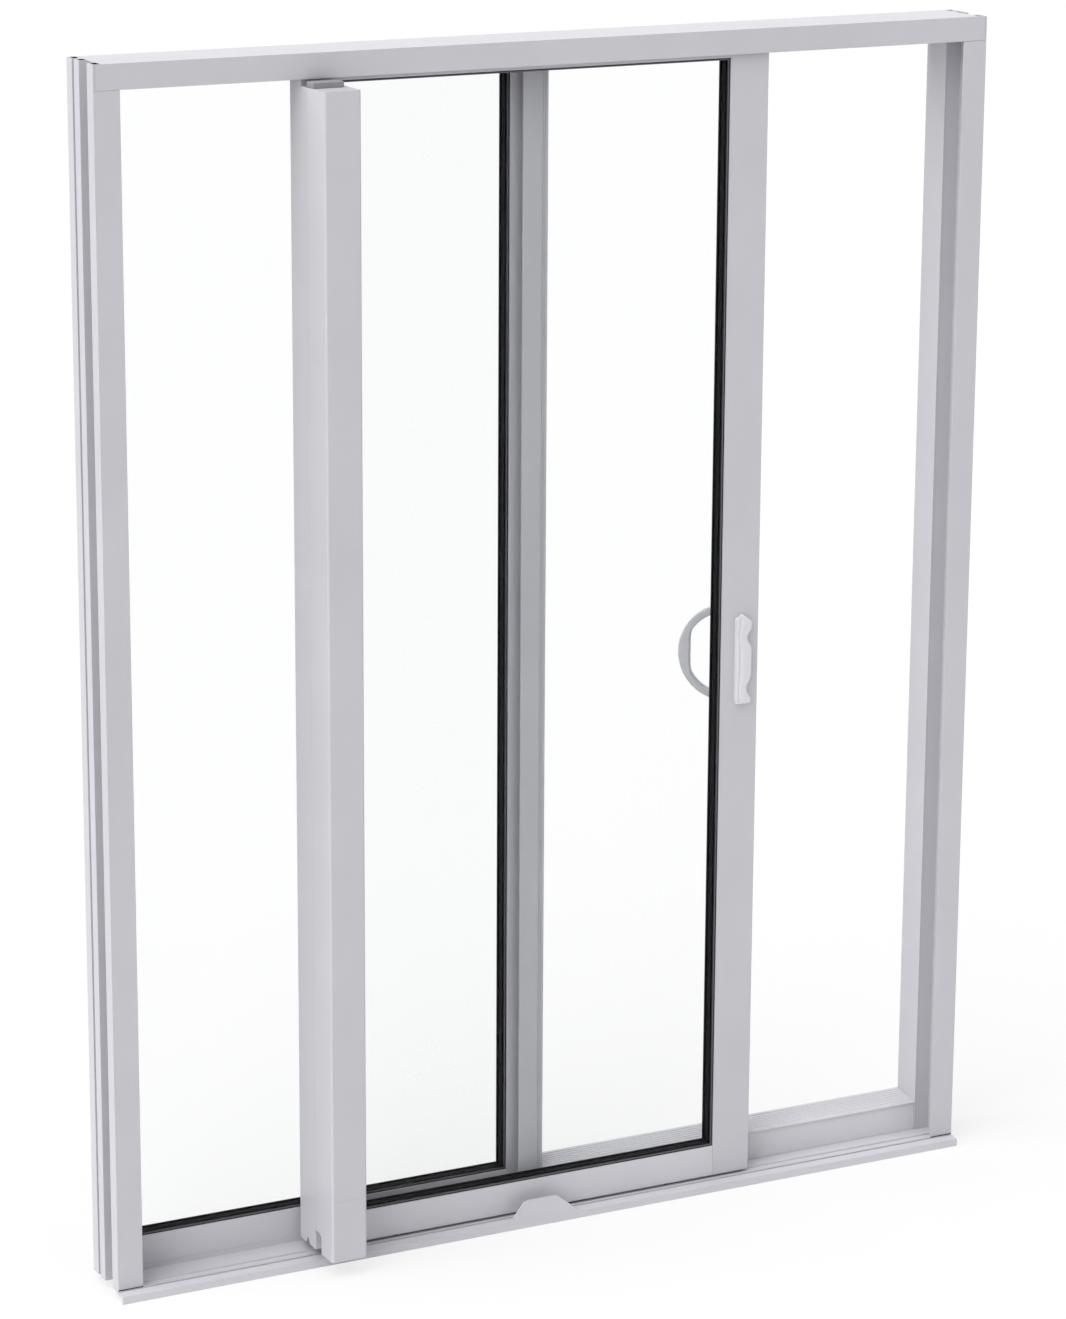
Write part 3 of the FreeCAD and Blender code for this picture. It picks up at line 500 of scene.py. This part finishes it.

# %% [markdown]
# Carry the section round the panes
#
# A real gasket is cut to length and mitred at the corners. A curve with a bevel could follow the opening,
# but it pinches at a sharp corner. So the section is placed on the diagonal at each corner, which mitres
# it, and four such rings closed on themselves make the whole gasket. Its bead is painted a paler rubber, a
# painted highlight for the light that it catches.

# %% Make the gaskets
RUBBER_TONES = (0.008, 0.008, 0.010), (0.015, 0.015, 0.018)
# The bead's paler tones are a painted highlight, for the light that the round bead catches.
BEAD_HIGHLIGHT_TONES = (0.075, 0.074, 0.082), (0.100, 0.098, 0.108)
rubber = grained("gasket_rubber", RUBBER_TONES, scale=700.0, rough=(0.5, 0.65), gloss=0.08)
bead_highlight_rubber = grained("gasket_bead", BEAD_HIGHLIGHT_TONES, scale=700.0, rough=(0.4, 0.55), gloss=0.3)


def mitred(low, high, step):
    """Rings at the four corners of a rectangle, stepped in along the diagonal. Returns the rings' first
    and second coordinates: a low corner's own plus the step, and a high corner's own minus the step."""
    first = np.array([low[0] + step, high[0] - step, high[0] - step, low[0] + step])
    second = np.array([low[1] + step, low[1] + step, high[1] - step, high[1] - step])
    return first, second


def make_gasket(node, body, outward):
    """Carry the section round the opening: x and z step in from the sides by the section's first number,
    and y rises from the glass by the second, towards outward."""
    low, high = corners(node)
    section = gasket_section(high[1] - low[1])
    x, z = mitred(low[[0, 2]], high[[0, 2]], section[:, 0] + GASKET_TUCK)
    glass = high[1] if outward < 0 else low[1]
    y = np.broadcast_to(glass + outward * section[:, 1], x.shape)
    rows, columns = x.shape
    rings = np.stack([x, y, z], axis=2)
    faces = quads(rows, columns, close_rows=True)
    gasket = new_piece(f"{node}_rubber", rings, faces, [rubber, bead_highlight_rubber], body)
    on_bead_highlight = np.tile(np.arange(columns) < BEAD_POINTS - 1, rows)
    gasket.data.polygons.foreach_set("material_index", on_bead_highlight.astype(np.int32))
    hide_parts(node)


for panel, body in (("fixed", "frame"), ("sliding", "sliding_panel")):
    make_gasket(f"{panel}_outer_gasket", body, -1)
    make_gasket(f"{panel}_inner_gasket", body, 1)

# %% [markdown]
# The near handle
#
# On the weather side a raised plate is screwed to the lock stile from behind. Its top slopes down to the
# free edge, two scallops in that edge make room for fingers, and all its edges are soft. A cut block could
# show the outline but not the swell, so the plate is a height over a grid: across it from one edge to the
# other, and along it from bottom to top. First come the curves of its outline.

# %% The plate's outline
SCALLOP_BITE = 9 * MM
SCALLOP_MIDDLES = (-52 * MM, 40 * MM)
SCALLOP_HALF = 23 * MM
CREST_AT = 0.36
CREST_DROP = 5 * MM
SLOPE_DROP = 13 * MM
SLOPE_POWER = 1.4


def quarter_round(distance, radius):
    """How far a rounded corner stands back at a distance from its end: r - sqrt(r^2 - (r - d)^2)."""
    short = np.clip(radius - distance, 0, radius)
    return radius - np.sqrt(radius ** 2 - short ** 2)


def scallops(height):
    """The bite out of the free side at a height above the middle: a raised cosine at each scallop."""
    reach = [np.clip((height - middle) / SCALLOP_HALF, -1, 1) for middle in SCALLOP_MIDDLES]
    return sum(SCALLOP_BITE * (1 + np.cos(np.pi * r)) / 2 for r in reach)


def crest(across):
    """How far the top edge falls: a parabola before the crest, and a power of the distance after it."""
    before = CREST_DROP * (1 - across / CREST_AT) ** 2
    after = SLOPE_DROP * (np.maximum(across - CREST_AT, 0) / (1 - CREST_AT)) ** SLOPE_POWER
    return np.where(across < CREST_AT, before, after)


print("scallops", round(SCALLOP_BITE / MM), "mm deep")

# %% [markdown]
# The plate's swell
#
# The outline gives each row its two ends, and the face is a height over the rows. Sculpting could give it a
# swell, but a formula keeps it exactly inside its edges and can be changed later: a quarter circle at the
# rim, and a shallow valley along the plate.

# %% The plate's face
PLATE_COLUMNS = 41
PLATE_ROWS = 161
PLATE_CORNER = 6 * MM
PLATE_EDGE = 4 * MM
SLOPE_FADE_POWER = 6
VALLEY_DEPTH = 1.3 * MM
VALLEY_AT = 0.26
VALLEY_WIDE = 0.10


def plate_points(low, high):
    """Rows of points from bottom to top. The sides follow rounded corners, the free side also the scallops,
    and the top follows the crest, which fades out downwards. The face falls by a quarter circle at the rim
    and by a bell curve along a shallow valley that fades out at both ends."""
    across = np.linspace(0, 1, PLATE_COLUMNS)[None, :]
    along = np.linspace(0, 1, PLATE_ROWS)[:, None]
    tall = high[2] - low[2]
    from_end = np.minimum(along, 1 - along) * tall
    corner = quarter_round(from_end, PLATE_CORNER)
    left = low[0] + corner
    right = high[0] - corner - scallops(along * tall - tall / 2)
    x = left + (right - left) * across
    z = low[2] + along * tall - crest(across) * along ** SLOPE_FADE_POWER
    rim = np.minimum(np.minimum(x - left, right - x), from_end)
    valley = VALLEY_DEPTH * np.exp(-((across - VALLEY_AT) / VALLEY_WIDE) ** 2)
    y = low[1] + quarter_round(rim, PLATE_EDGE) + valley * np.clip(from_end / PLATE_CORNER, 0, 1)
    return np.stack([x, y, z], axis=2)


print("plate grid:", PLATE_ROWS, "rows of", PLATE_COLUMNS)

# %% [markdown]
# Close the near handle
#
# The grid is an open sheet, and a casting is solid. A thickness all over would leave a hollow behind it, so
# a skirt runs from the sheet's rim straight back to the stile, and one flat face closes the back. The
# handle's coat is a shade lighter than that of the bars.

# %% Make the near handle
HANDLE_TONES = (0.645, 0.640, 0.670), (0.665, 0.660, 0.690)
PLATE_DEPTH = 9 * MM
PLATE_SIDE_STEP = 5 * MM
PLATE_TOP_STEP = 3 * MM
handle_coat = powder_coat("coat_on_handles", HANDLE_TONES, ALONG_UPRIGHT)


def rim_numbers(rows, columns):
    """Numbers of the points round the edge of a grid, in order."""
    grid = np.arange(rows * columns).reshape(rows, columns)
    return np.concatenate([grid[0, :-1], grid[:-1, -1], grid[-1, :0:-1], grid[:0:-1, 0]])


def make_near_handle():
    """The grid, and a skirt from its rim straight back to the stile."""
    low, high = corners("pull_plate")
    low[0] += PLATE_SIDE_STEP
    low[1] = high[1] - PLATE_DEPTH
    high[2] -= PLATE_TOP_STEP
    face = plate_points(low, high).reshape(-1, 3)
    rim = rim_numbers(PLATE_ROWS, PLATE_COLUMNS)
    skirt = face[rim].copy()
    skirt[:, 1] = high[1]
    behind = len(face) + np.arange(len(rim))
    sides = np.stack([behind, np.roll(behind, -1), np.roll(rim, -1), rim], axis=1)
    front = quads(PLATE_ROWS, PLATE_COLUMNS, close_columns=False)[:, ::-1]
    points = np.vstack([face, skirt])
    faces = [*front, *sides, behind]
    handle = new_piece("near_handle", points, faces, [handle_coat], "sliding_panel")
    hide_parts("pull_plate")


make_near_handle()

# %% [markdown]
# The far handle
#
# Indoors a bow leans out from the glass so that a hand fits behind it. Its outside is a circle, its inside
# a smaller circle with a flat grip across the middle, and its section is a soft rectangle. A bevelled
# curve has one thickness all along, so the bow is a grid instead: the angle round the bow, and the angle
# round its section. First come its inner edge and the shape of its section.

# %% The bow's section
BOW_RADIUS = 86 * MM
BOW_THICKNESS = 13 * MM
BOW_GRIP = 21 * MM
BOW_GRIP_EASE = 2.0 * MM
LEAST_COSINE = 0.5
SECTION_POWER = 2 / 6


def bow_inside(angle):
    """Distance from the centre to the inner edge: the hole's radius, or the flat at g / |cos a| where that
    is nearer, joined by the soft minimum -k log(exp(-p / k) + exp(-q / k)). The cosine has a least value,
    because it passes zero near the bow's ends."""
    hole = np.full_like(angle, BOW_RADIUS - BOW_THICKNESS)
    flat = (BOW_RADIUS - BOW_GRIP) / np.maximum(-np.cos(angle), LEAST_COSINE)
    nearest = np.minimum(hole, flat)
    parts = np.exp((nearest - hole) / BOW_GRIP_EASE) + np.exp((nearest - flat) / BOW_GRIP_EASE)
    return nearest - BOW_GRIP_EASE * np.log(parts)


def soft_square(wave):
    """A sine or cosine drawn towards -1 and 1 by a power, which makes a circle a superellipse."""
    return np.sign(wave) * np.abs(wave) ** SECTION_POWER


print("legs", round(BOW_THICKNESS / MM), "mm, grip", round(BOW_GRIP / MM), "mm wide")

# %% [markdown]
# Bend the bow
#
# A plain round bow could be half a torus, but this one changes its thickness and leans. So a ring of points
# is worked out at every angle, from the inner edge to the outer circle, and the whole is turned about the
# upright. Its ends run on past the half circle and are pressed flat inside the base plate.

# %% The bow
BOW_HALF_DEPTH = 8 * MM
BOW_LEAN = math.radians(36)
BOW_RUN_ON = math.radians(9)
BOW_STEPS = 121
SECTION_STEPS = 36
SEATING = 0.5 * MM


def bow_points(centre, base_front):
    """Rings round the bow. At each angle the section between the inner edge and the outer circle is a
    superellipse, and the whole bow is turned about the upright by its lean."""
    angle = np.linspace(np.pi / 2 - BOW_RUN_ON, 3 * np.pi / 2 + BOW_RUN_ON, BOW_STEPS)[:, None]
    inside = bow_inside(angle)
    middle = (BOW_RADIUS + inside) / 2
    half = (BOW_RADIUS - inside) / 2
    around = np.linspace(0, 2 * np.pi, SECTION_STEPS, endpoint=False)[None, :]
    out = middle + half * soft_square(np.cos(around))
    side = BOW_HALF_DEPTH * soft_square(np.sin(around))
    flat = out * np.cos(angle)
    x = centre[0] + flat * math.cos(BOW_LEAN) + side * math.sin(BOW_LEAN)
    y = centre[1] - flat * math.sin(BOW_LEAN) + side * math.cos(BOW_LEAN)
    z = centre[2] + out * np.sin(angle)
    return np.stack([x, np.maximum(y, base_front + SEATING), z], axis=2)


print("bow", round(2 * BOW_RADIUS / MM), "mm tall, leaning", round(math.degrees(BOW_LEAN)), "degrees")

# %% [markdown]
# The bow's base plate
#
# The bow grows out of a flat plate on the stile. A bevelled box would do, but the plate's corners are much
# rounder than its edge, so it is a stack of rounded outlines, each a little smaller towards the room. Both
# ends of a stack are capped, and the bow, which is a stack of rings too, is capped the same way.

# %% Stacks of outlines
CORNER_POINTS = 9


def plate_rings(left, right, bottom, top, corner, levels):
    """Rings of a plate with round corners. Each level is (step in from the edge, y): the outline is a
    quarter circle at each corner, with the step taken off its radius."""
    quarter = np.linspace(0, np.pi / 2, CORNER_POINTS)
    around = np.concatenate([quarter + k * np.pi / 2 for k in range(4)])
    middle_x = np.repeat([right - corner, left + corner, left + corner, right - corner], CORNER_POINTS)
    middle_z = np.repeat([top - corner, top - corner, bottom + corner, bottom + corner], CORNER_POINTS)
    step, y = np.array(levels).T[:, :, None]
    x = middle_x + (corner - step) * np.cos(around)
    z = middle_z + (corner - step) * np.sin(around)
    return np.stack([x, np.broadcast_to(y, x.shape), z], axis=2)


def capped(points, start=0):
    """Faces of a stack of rings with a cap at both ends, with point numbers from start."""
    rows, columns = points.shape[:2]
    sides = quads(rows, columns) + start
    first = start + np.arange(columns)
    return [*sides, first, first[::-1] + (rows - 1) * columns]


print("points of an outline:", 4 * CORNER_POINTS)

# %% [markdown]
# Put bow and plate together
#
# On a real handle the two are one casting. A boolean could weld them, but it can leave slivers where the
# bow's round legs meet the plate. So each stays a closed surface of its own, and the legs end inside the
# plate. They share one mesh and the coat of the uprights.

# %% Make the far handle
BOW_FROM_BASE_EDGE = 19 * MM
BOW_STAND = 2 * MM
BASE_WIDTH = 36 * MM
BASE_DEPTH = 5 * MM
BASE_CORNER = 12 * MM
BASE_EDGE = 2 * MM
EDGE_POINTS = 5


def make_far_handle():
    """The bow and its base plate, as two closed surfaces in one piece."""
    low, high = corners("bow_pull")
    base_front = low[1]
    centre = (high[0] - BOW_FROM_BASE_EDGE, base_front + BOW_STAND, (low[2] + high[2]) / 2)
    bow = bow_points(centre, base_front)
    arc = np.linspace(0, np.pi / 2, EDGE_POINTS)
    edge_step = BASE_EDGE * (1 - np.cos(arc))
    edge_y = base_front + BASE_DEPTH - BASE_EDGE * (1 - np.sin(arc))
    levels = [(0.0, base_front), *zip(edge_step, edge_y)]
    base = plate_rings(high[0] - BASE_WIDTH, high[0], low[2], high[2], BASE_CORNER, levels)
    points = np.vstack([bow.reshape(-1, 3), base.reshape(-1, 3)])
    bow_faces = facing_out(points, capped(bow))
    base_faces = facing_out(points, capped(base, start=bow.shape[0] * bow.shape[1]))
    faces = [*bow_faces, *base_faces]
    handle = new_piece("far_handle", points, faces, [upright_coat], "sliding_panel")
    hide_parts("bow_pull")


make_far_handle()

# %% [markdown]
# The plug on the post
#
# A grey plug, darker than the coat, stands on top of the post and fills most of the gap below the head. A
# cube with a bevel would look the same, but the rings of the base plate above already make a rounded block,
# so they are used again.

# %% Make the plug
PLUG_TONES = (0.25, 0.25, 0.265), (0.30, 0.30, 0.315)
PLUG_LEFT_INSET = 1 * MM
PLUG_RIGHT_INSET = 9 * MM
PLUG_DEPTH = 24 * MM
PLUG_BELOW_HEAD = 1.5 * MM
PLUG_CORNER = 2 * MM
BLOCK_EASE = 0.5
grey_plug_finish = grained("grey_plug_finish", PLUG_TONES, scale=500.0, rough=(0.75, 0.9), gloss=0.15)


def block(low, high, corner):
    """A block with round corners as rings from front to back, with its front edge eased by a share of the
    corner."""
    ease = BLOCK_EASE * corner
    levels = [(ease, low[1]), (0.0, low[1] + ease), (0.0, high[1])]
    return plate_rings(low[0], high[0], low[2], high[2], corner, levels)


def make_top_plug():
    """A block on the tube's top, against the stile, that ends below the head."""
    tube_low, tube_high = corners("interlock_tube")
    head_low = corners("head")[0]
    low = (tube_low[0] + PLUG_LEFT_INSET, tube_high[1] - PLUG_DEPTH, tube_high[2])
    high = (tube_high[0] - PLUG_RIGHT_INSET, tube_high[1], head_low[2] - PLUG_BELOW_HEAD)
    plug = block(low, high, PLUG_CORNER)
    new_piece("post_top_plug", plug, capped(plug), [grey_plug_finish], "sliding_panel")


make_top_plug()

# %% [markdown]
# Dark seals under the jambs
#
# Where each jamb's front leg meets the sill, a thin dark seal, as real doors have there, also stands in for
# the shadow in the gap under the leg: partly painted shadow. It could be painted on, but a line of paint
# has no thickness, and without the seal the joint looks like one casting. So it is a thin bar, the same
# rounded block in the rubber of the gaskets.

# %% Make the foot seals
FOOT_LEVEL = 4 * MM
SEAL_PROUD = 0.3 * MM
SEAL_BEHIND = 1.5 * MM
SEAL_TALL = 1.6 * MM
SEAL_SINK = 0.7 * MM
SEAL_CORNER = 0.5 * MM


def make_foot_shadow_seal(side):
    """A thin bar along the front of a jamb's foot, where the leg stands on the sill."""
    jamb_low, jamb_high = corners(f"{side}_jamb")
    bottom = FOOT_LEVEL - SEAL_SINK
    low = (jamb_low[0], jamb_low[1] - SEAL_PROUD, bottom)
    high = (jamb_high[0], jamb_low[1] + SEAL_BEHIND, bottom + SEAL_TALL)
    bar = block(low, high, SEAL_CORNER)
    # The dark bar is partly painted shadow, for the shadow of the gap under the leg.
    new_piece(f"{side}_foot_shadow_seal", bar, capped(bar), [rubber], "frame")


make_foot_shadow_seal("left")
make_foot_shadow_seal("right")

# %% [markdown]
# Dark insides of the jambs
#
# The jambs are hollow boxes, open at the top, and from above each box shows a dark mouth. That dark is
# painted shade: a near-black lining stands in for the shade deep inside each box, and on the right it
# starts a little further down. A dark paint on some faces of the solid would need those faces picked out
# one by one, so each box gets a thin dark lining instead: a flat strip, mitred round four corners, that
# hangs down inside.

# %% Line the hollow boxes
# The lining's near-black tones are painted shade, for the shade inside the hollow boxes.
LINING_SHADE_TONES = (0.012, 0.012, 0.013), (0.030, 0.030, 0.032)
BOX_WALL = 3 * MM
BOX_ACROSS = 14 * MM
BOX_STARTS = (3 * MM, 62 * MM, 92 * MM)
BOX_ENDS = (23 * MM, 78 * MM, 109 * MM)
LINING_GAP = 0.1 * MM
LINING_THICK = 0.3 * MM
LINING_TALL = 60 * MM
LEFT_LINING_START = 0.1 * MM
RIGHT_LINING_START = 12 * MM
shade_lining = grained("painted_shade_inside", LINING_SHADE_TONES, scale=90.0, rough=(0.6, 0.8), gloss=0.15)


def inward_span(low, high, outward, depths):
    """Places across a jamb at depths from its outer face, lowest first. outward is -1 on the left jamb and
    1 on the right."""
    outer = low[0] if outward < 0 else high[0]
    return np.sort(outer - outward * np.array(depths))


def lining_points(across, front, back, top):
    """Four rings, one for each corner of the box, that step in along the diagonal: two at the wall and two
    at the strip's thickness, at the strip's top and at its lower end."""
    inner = LINING_GAP + LINING_THICK
    step = np.array([LINING_GAP, inner, inner, LINING_GAP])
    x, y = mitred((across[0], front), (across[1], back), step)
    z = np.broadcast_to(top - np.array([0.0, 0.0, LINING_TALL, LINING_TALL]), x.shape)
    return np.stack([x, y, z], axis=2)


def make_linings(side, outward, start_depth):
    """The shade linings of one jamb's three boxes, as one piece. start_depth is how far down they start."""
    low, high = corners(f"{side}_jamb")
    across = inward_span(low, high, outward, [BOX_WALL, BOX_ACROSS])
    spans = zip(BOX_STARTS, BOX_ENDS)
    top = high[2] - start_depth
    tubes = np.array([lining_points(across, low[1] + start, low[1] + end, top) for start, end in spans])
    count, rows, columns = tubes.shape[:3]
    one_tube = quads(rows, columns, close_rows=True)
    faces = np.vstack([one_tube + k * rows * columns for k in range(count)])
    new_piece(f"{side}_jamb_shade_lining", tubes, faces, [shade_lining], "frame")


make_linings("left", -1, LEFT_LINING_START)
make_linings("right", 1, RIGHT_LINING_START)

# %% [markdown]
# Painted shade in the deep grooves
#
# The deep groove in each jamb lies in shade, and a darker coat on its floor paints that shade. The groove's
# floor could have a finish of its own, but it is part of a solid that has only one, so a thin strip lies on
# the floor and carries the darker coat. It is the rounded block again, half a millimetre thick.

# %% Lay the groove strips
# The groove tones are painted shade: darker than the coat, for the shade in the deep grooves.
GROOVE_SHADE_TONES = (0.290, 0.287, 0.306), (0.318, 0.315, 0.335)
GROOVE_FLOOR = 14 * MM
GROOVE_START = 26.2 * MM
GROOVE_END = 58.8 * MM
STRIP_PROUD = 0.3 * MM
STRIP_SINK = 0.2 * MM
STRIP_END = 1 * MM
STRIP_CORNER = 0.2 * MM
groove_shade_coat = powder_coat("painted_shade_in_grooves", GROOVE_SHADE_TONES, ALONG_UPRIGHT)


def make_groove_shade_strip(side, outward):
    """A thin block on the floor of one jamb's deep groove, in a darker coat that paints its shade."""
    jamb_low, jamb_high = corners(f"{side}_jamb")
    depths = [GROOVE_FLOOR - STRIP_PROUD, GROOVE_FLOOR + STRIP_SINK]
    across = inward_span(jamb_low, jamb_high, outward, depths)
    low = (across[0], jamb_low[1] + GROOVE_START, jamb_low[2] + STRIP_END)
    high = (across[1], jamb_low[1] + GROOVE_END, jamb_high[2] - STRIP_END)
    strip = block(low, high, STRIP_CORNER)
    new_piece(f"{side}_jamb_groove_shade", strip, capped(strip), [groove_shade_coat], "frame")


make_groove_shade_strip("left", -1)
make_groove_shade_strip("right", 1)

# %% [markdown]
# The backdrop
#
# The studio is white all round. A world as bright as it looks would fill every groove and bleach the bars,
# so the light path tells rays apart: the eye, mirrors and glass see white, and surfaces get only a little
# even light from it.

# %% Hang the backdrop
WHITE = (1.0, 1.0, 1.0, 1.0)
WHITE_STRENGTH = 1.0
WORLD_LIGHT = 0.08


def make_backdrop():
    """World: soft grey light for surfaces, white for what is seen."""
    world = bpy.data.worlds.new("white_studio")
    world.use_nodes = True
    bpy.context.scene.world = world
    tree = world.node_tree
    soft = tree.nodes["Background"]
    soft.inputs["Color"].default_value = WHITE
    soft.inputs["Strength"].default_value = WORLD_LIGHT
    white = tree.nodes.new("ShaderNodeBackground")
    white.inputs["Color"].default_value = WHITE
    white.inputs["Strength"].default_value = WHITE_STRENGTH
    both = mixed(tree, either_ray(tree, SEEN_RAYS), soft.outputs[0], white.outputs[0])
    tree.links.new(both, tree.nodes["World Output"].inputs["Surface"])


make_backdrop()
print("backdrop white, light on surfaces", WORLD_LIGHT)

# %% [markdown]
# The floor
#
# The camera looks down, so behind the door it sees floor, which has to be as white as the backdrop and
# still keep a soft shadow. A lit floor alone would turn grey, and a glowing one would lose the shadow. So
# for the eye it is mostly plain white, and a share of it is lit like any surface, which is where the shadow
# shows. For the light it is a plain pale floor.

# %% Lay the floor
FLOOR_PALE = (0.92, 0.92, 0.92, 1.0)
FLOOR_LIT = (0.86, 0.86, 0.86, 1.0)
FLOOR_SHADOW_SHARE = 0.3
FLOOR_HALF = 30.0


def matt(tree, colour):
    """The socket of a diffuse shader of one colour."""
    node = tree.nodes.new("ShaderNodeBsdfDiffuse")
    node.inputs["Color"].default_value = colour
    return node.outputs["BSDF"]


def floor_finish():
    """Pale for the light. For what is seen, white with a lit share."""
    material, tree, shader = new_finish("studio_floor")
    tree.nodes.remove(shader)
    white = tree.nodes.new("ShaderNodeEmission")
    seen = tree.nodes.new("ShaderNodeMixShader")
    seen.inputs["Fac"].default_value = FLOOR_SHADOW_SHARE
    tree.links.new(white.outputs[0], seen.inputs[1])
    tree.links.new(matt(tree, FLOOR_LIT), seen.inputs[2])
    both = mixed(tree, either_ray(tree, SEEN_RAYS), matt(tree, FLOOR_PALE), seen.outputs["Shader"])
    tree.links.new(both, tree.nodes["Material Output"].inputs["Surface"])
    return material


def make_floor():
    """A wide square at the lowest edge of the door."""
    half = FLOOR_HALF
    level = solid_low[2]
    square = [(-half, -half, level), (half, -half, level), (half, half, level), (-half, half, level)]
    mesh = bpy.data.meshes.new("studio_floor")
    mesh.from_pydata(square, [], [(0, 1, 2, 3)])
    mesh.materials.append(floor_finish())
    floor = bpy.data.objects.new("studio_floor", mesh)
    bpy.context.scene.collection.objects.link(floor)


make_floor()
print("floor at", round(solid_low[2] / MM, 1), "mm")

# %% [markdown]
# The lamps
#
# The light has to shape the bars and not bleach them. A broad key lamp from the upper left and one
# overhead make tops brightest, left sides next, and grooves dark. A weaker one from the front right lifts
# the fronts, and a weak one from behind keeps the indoor side readable. Area lamps would fade across so
# tall a door, so each is a sun with a wide angle, which gives the same soft light everywhere.

# %% Light the studio
LAMP_SPREAD = math.radians(70)
# Each lamp's name, the direction it shines from and its strength.
LAMPS = [
    ("key_lamp", (-0.80, -0.22, 0.56), 2.65),
    ("top_lamp", (-0.10, -0.10, 1.0), 1.75),
    ("front_lamp", (0.45, -0.70, 0.40), 0.5),
    ("fill_lamp", (0.35, 0.75, 0.56), 0.3),
]


def make_lamp(name, source, strength):
    """A broad sun that shines from a direction."""
    lamp = bpy.data.lights.new(name, "SUN")
    lamp.energy = strength
    lamp.angle = LAMP_SPREAD
    ray = np.array(source) / np.linalg.norm(source)
    side = np.cross((0.0, 0.0, 1.0), ray)
    side = side / np.linalg.norm(side)
    lamp_turn = Matrix(np.column_stack([side, np.cross(ray, side), ray]).tolist())
    holder = bpy.data.objects.new(name, lamp)
    holder.matrix_world = lamp_turn.to_4x4()
    bpy.context.scene.collection.objects.link(holder)


for name, source, strength in LAMPS:
    make_lamp(name, source, strength)
bpy.context.scene.view_settings.view_transform = "Standard"
print("lamps:", len(LAMPS))
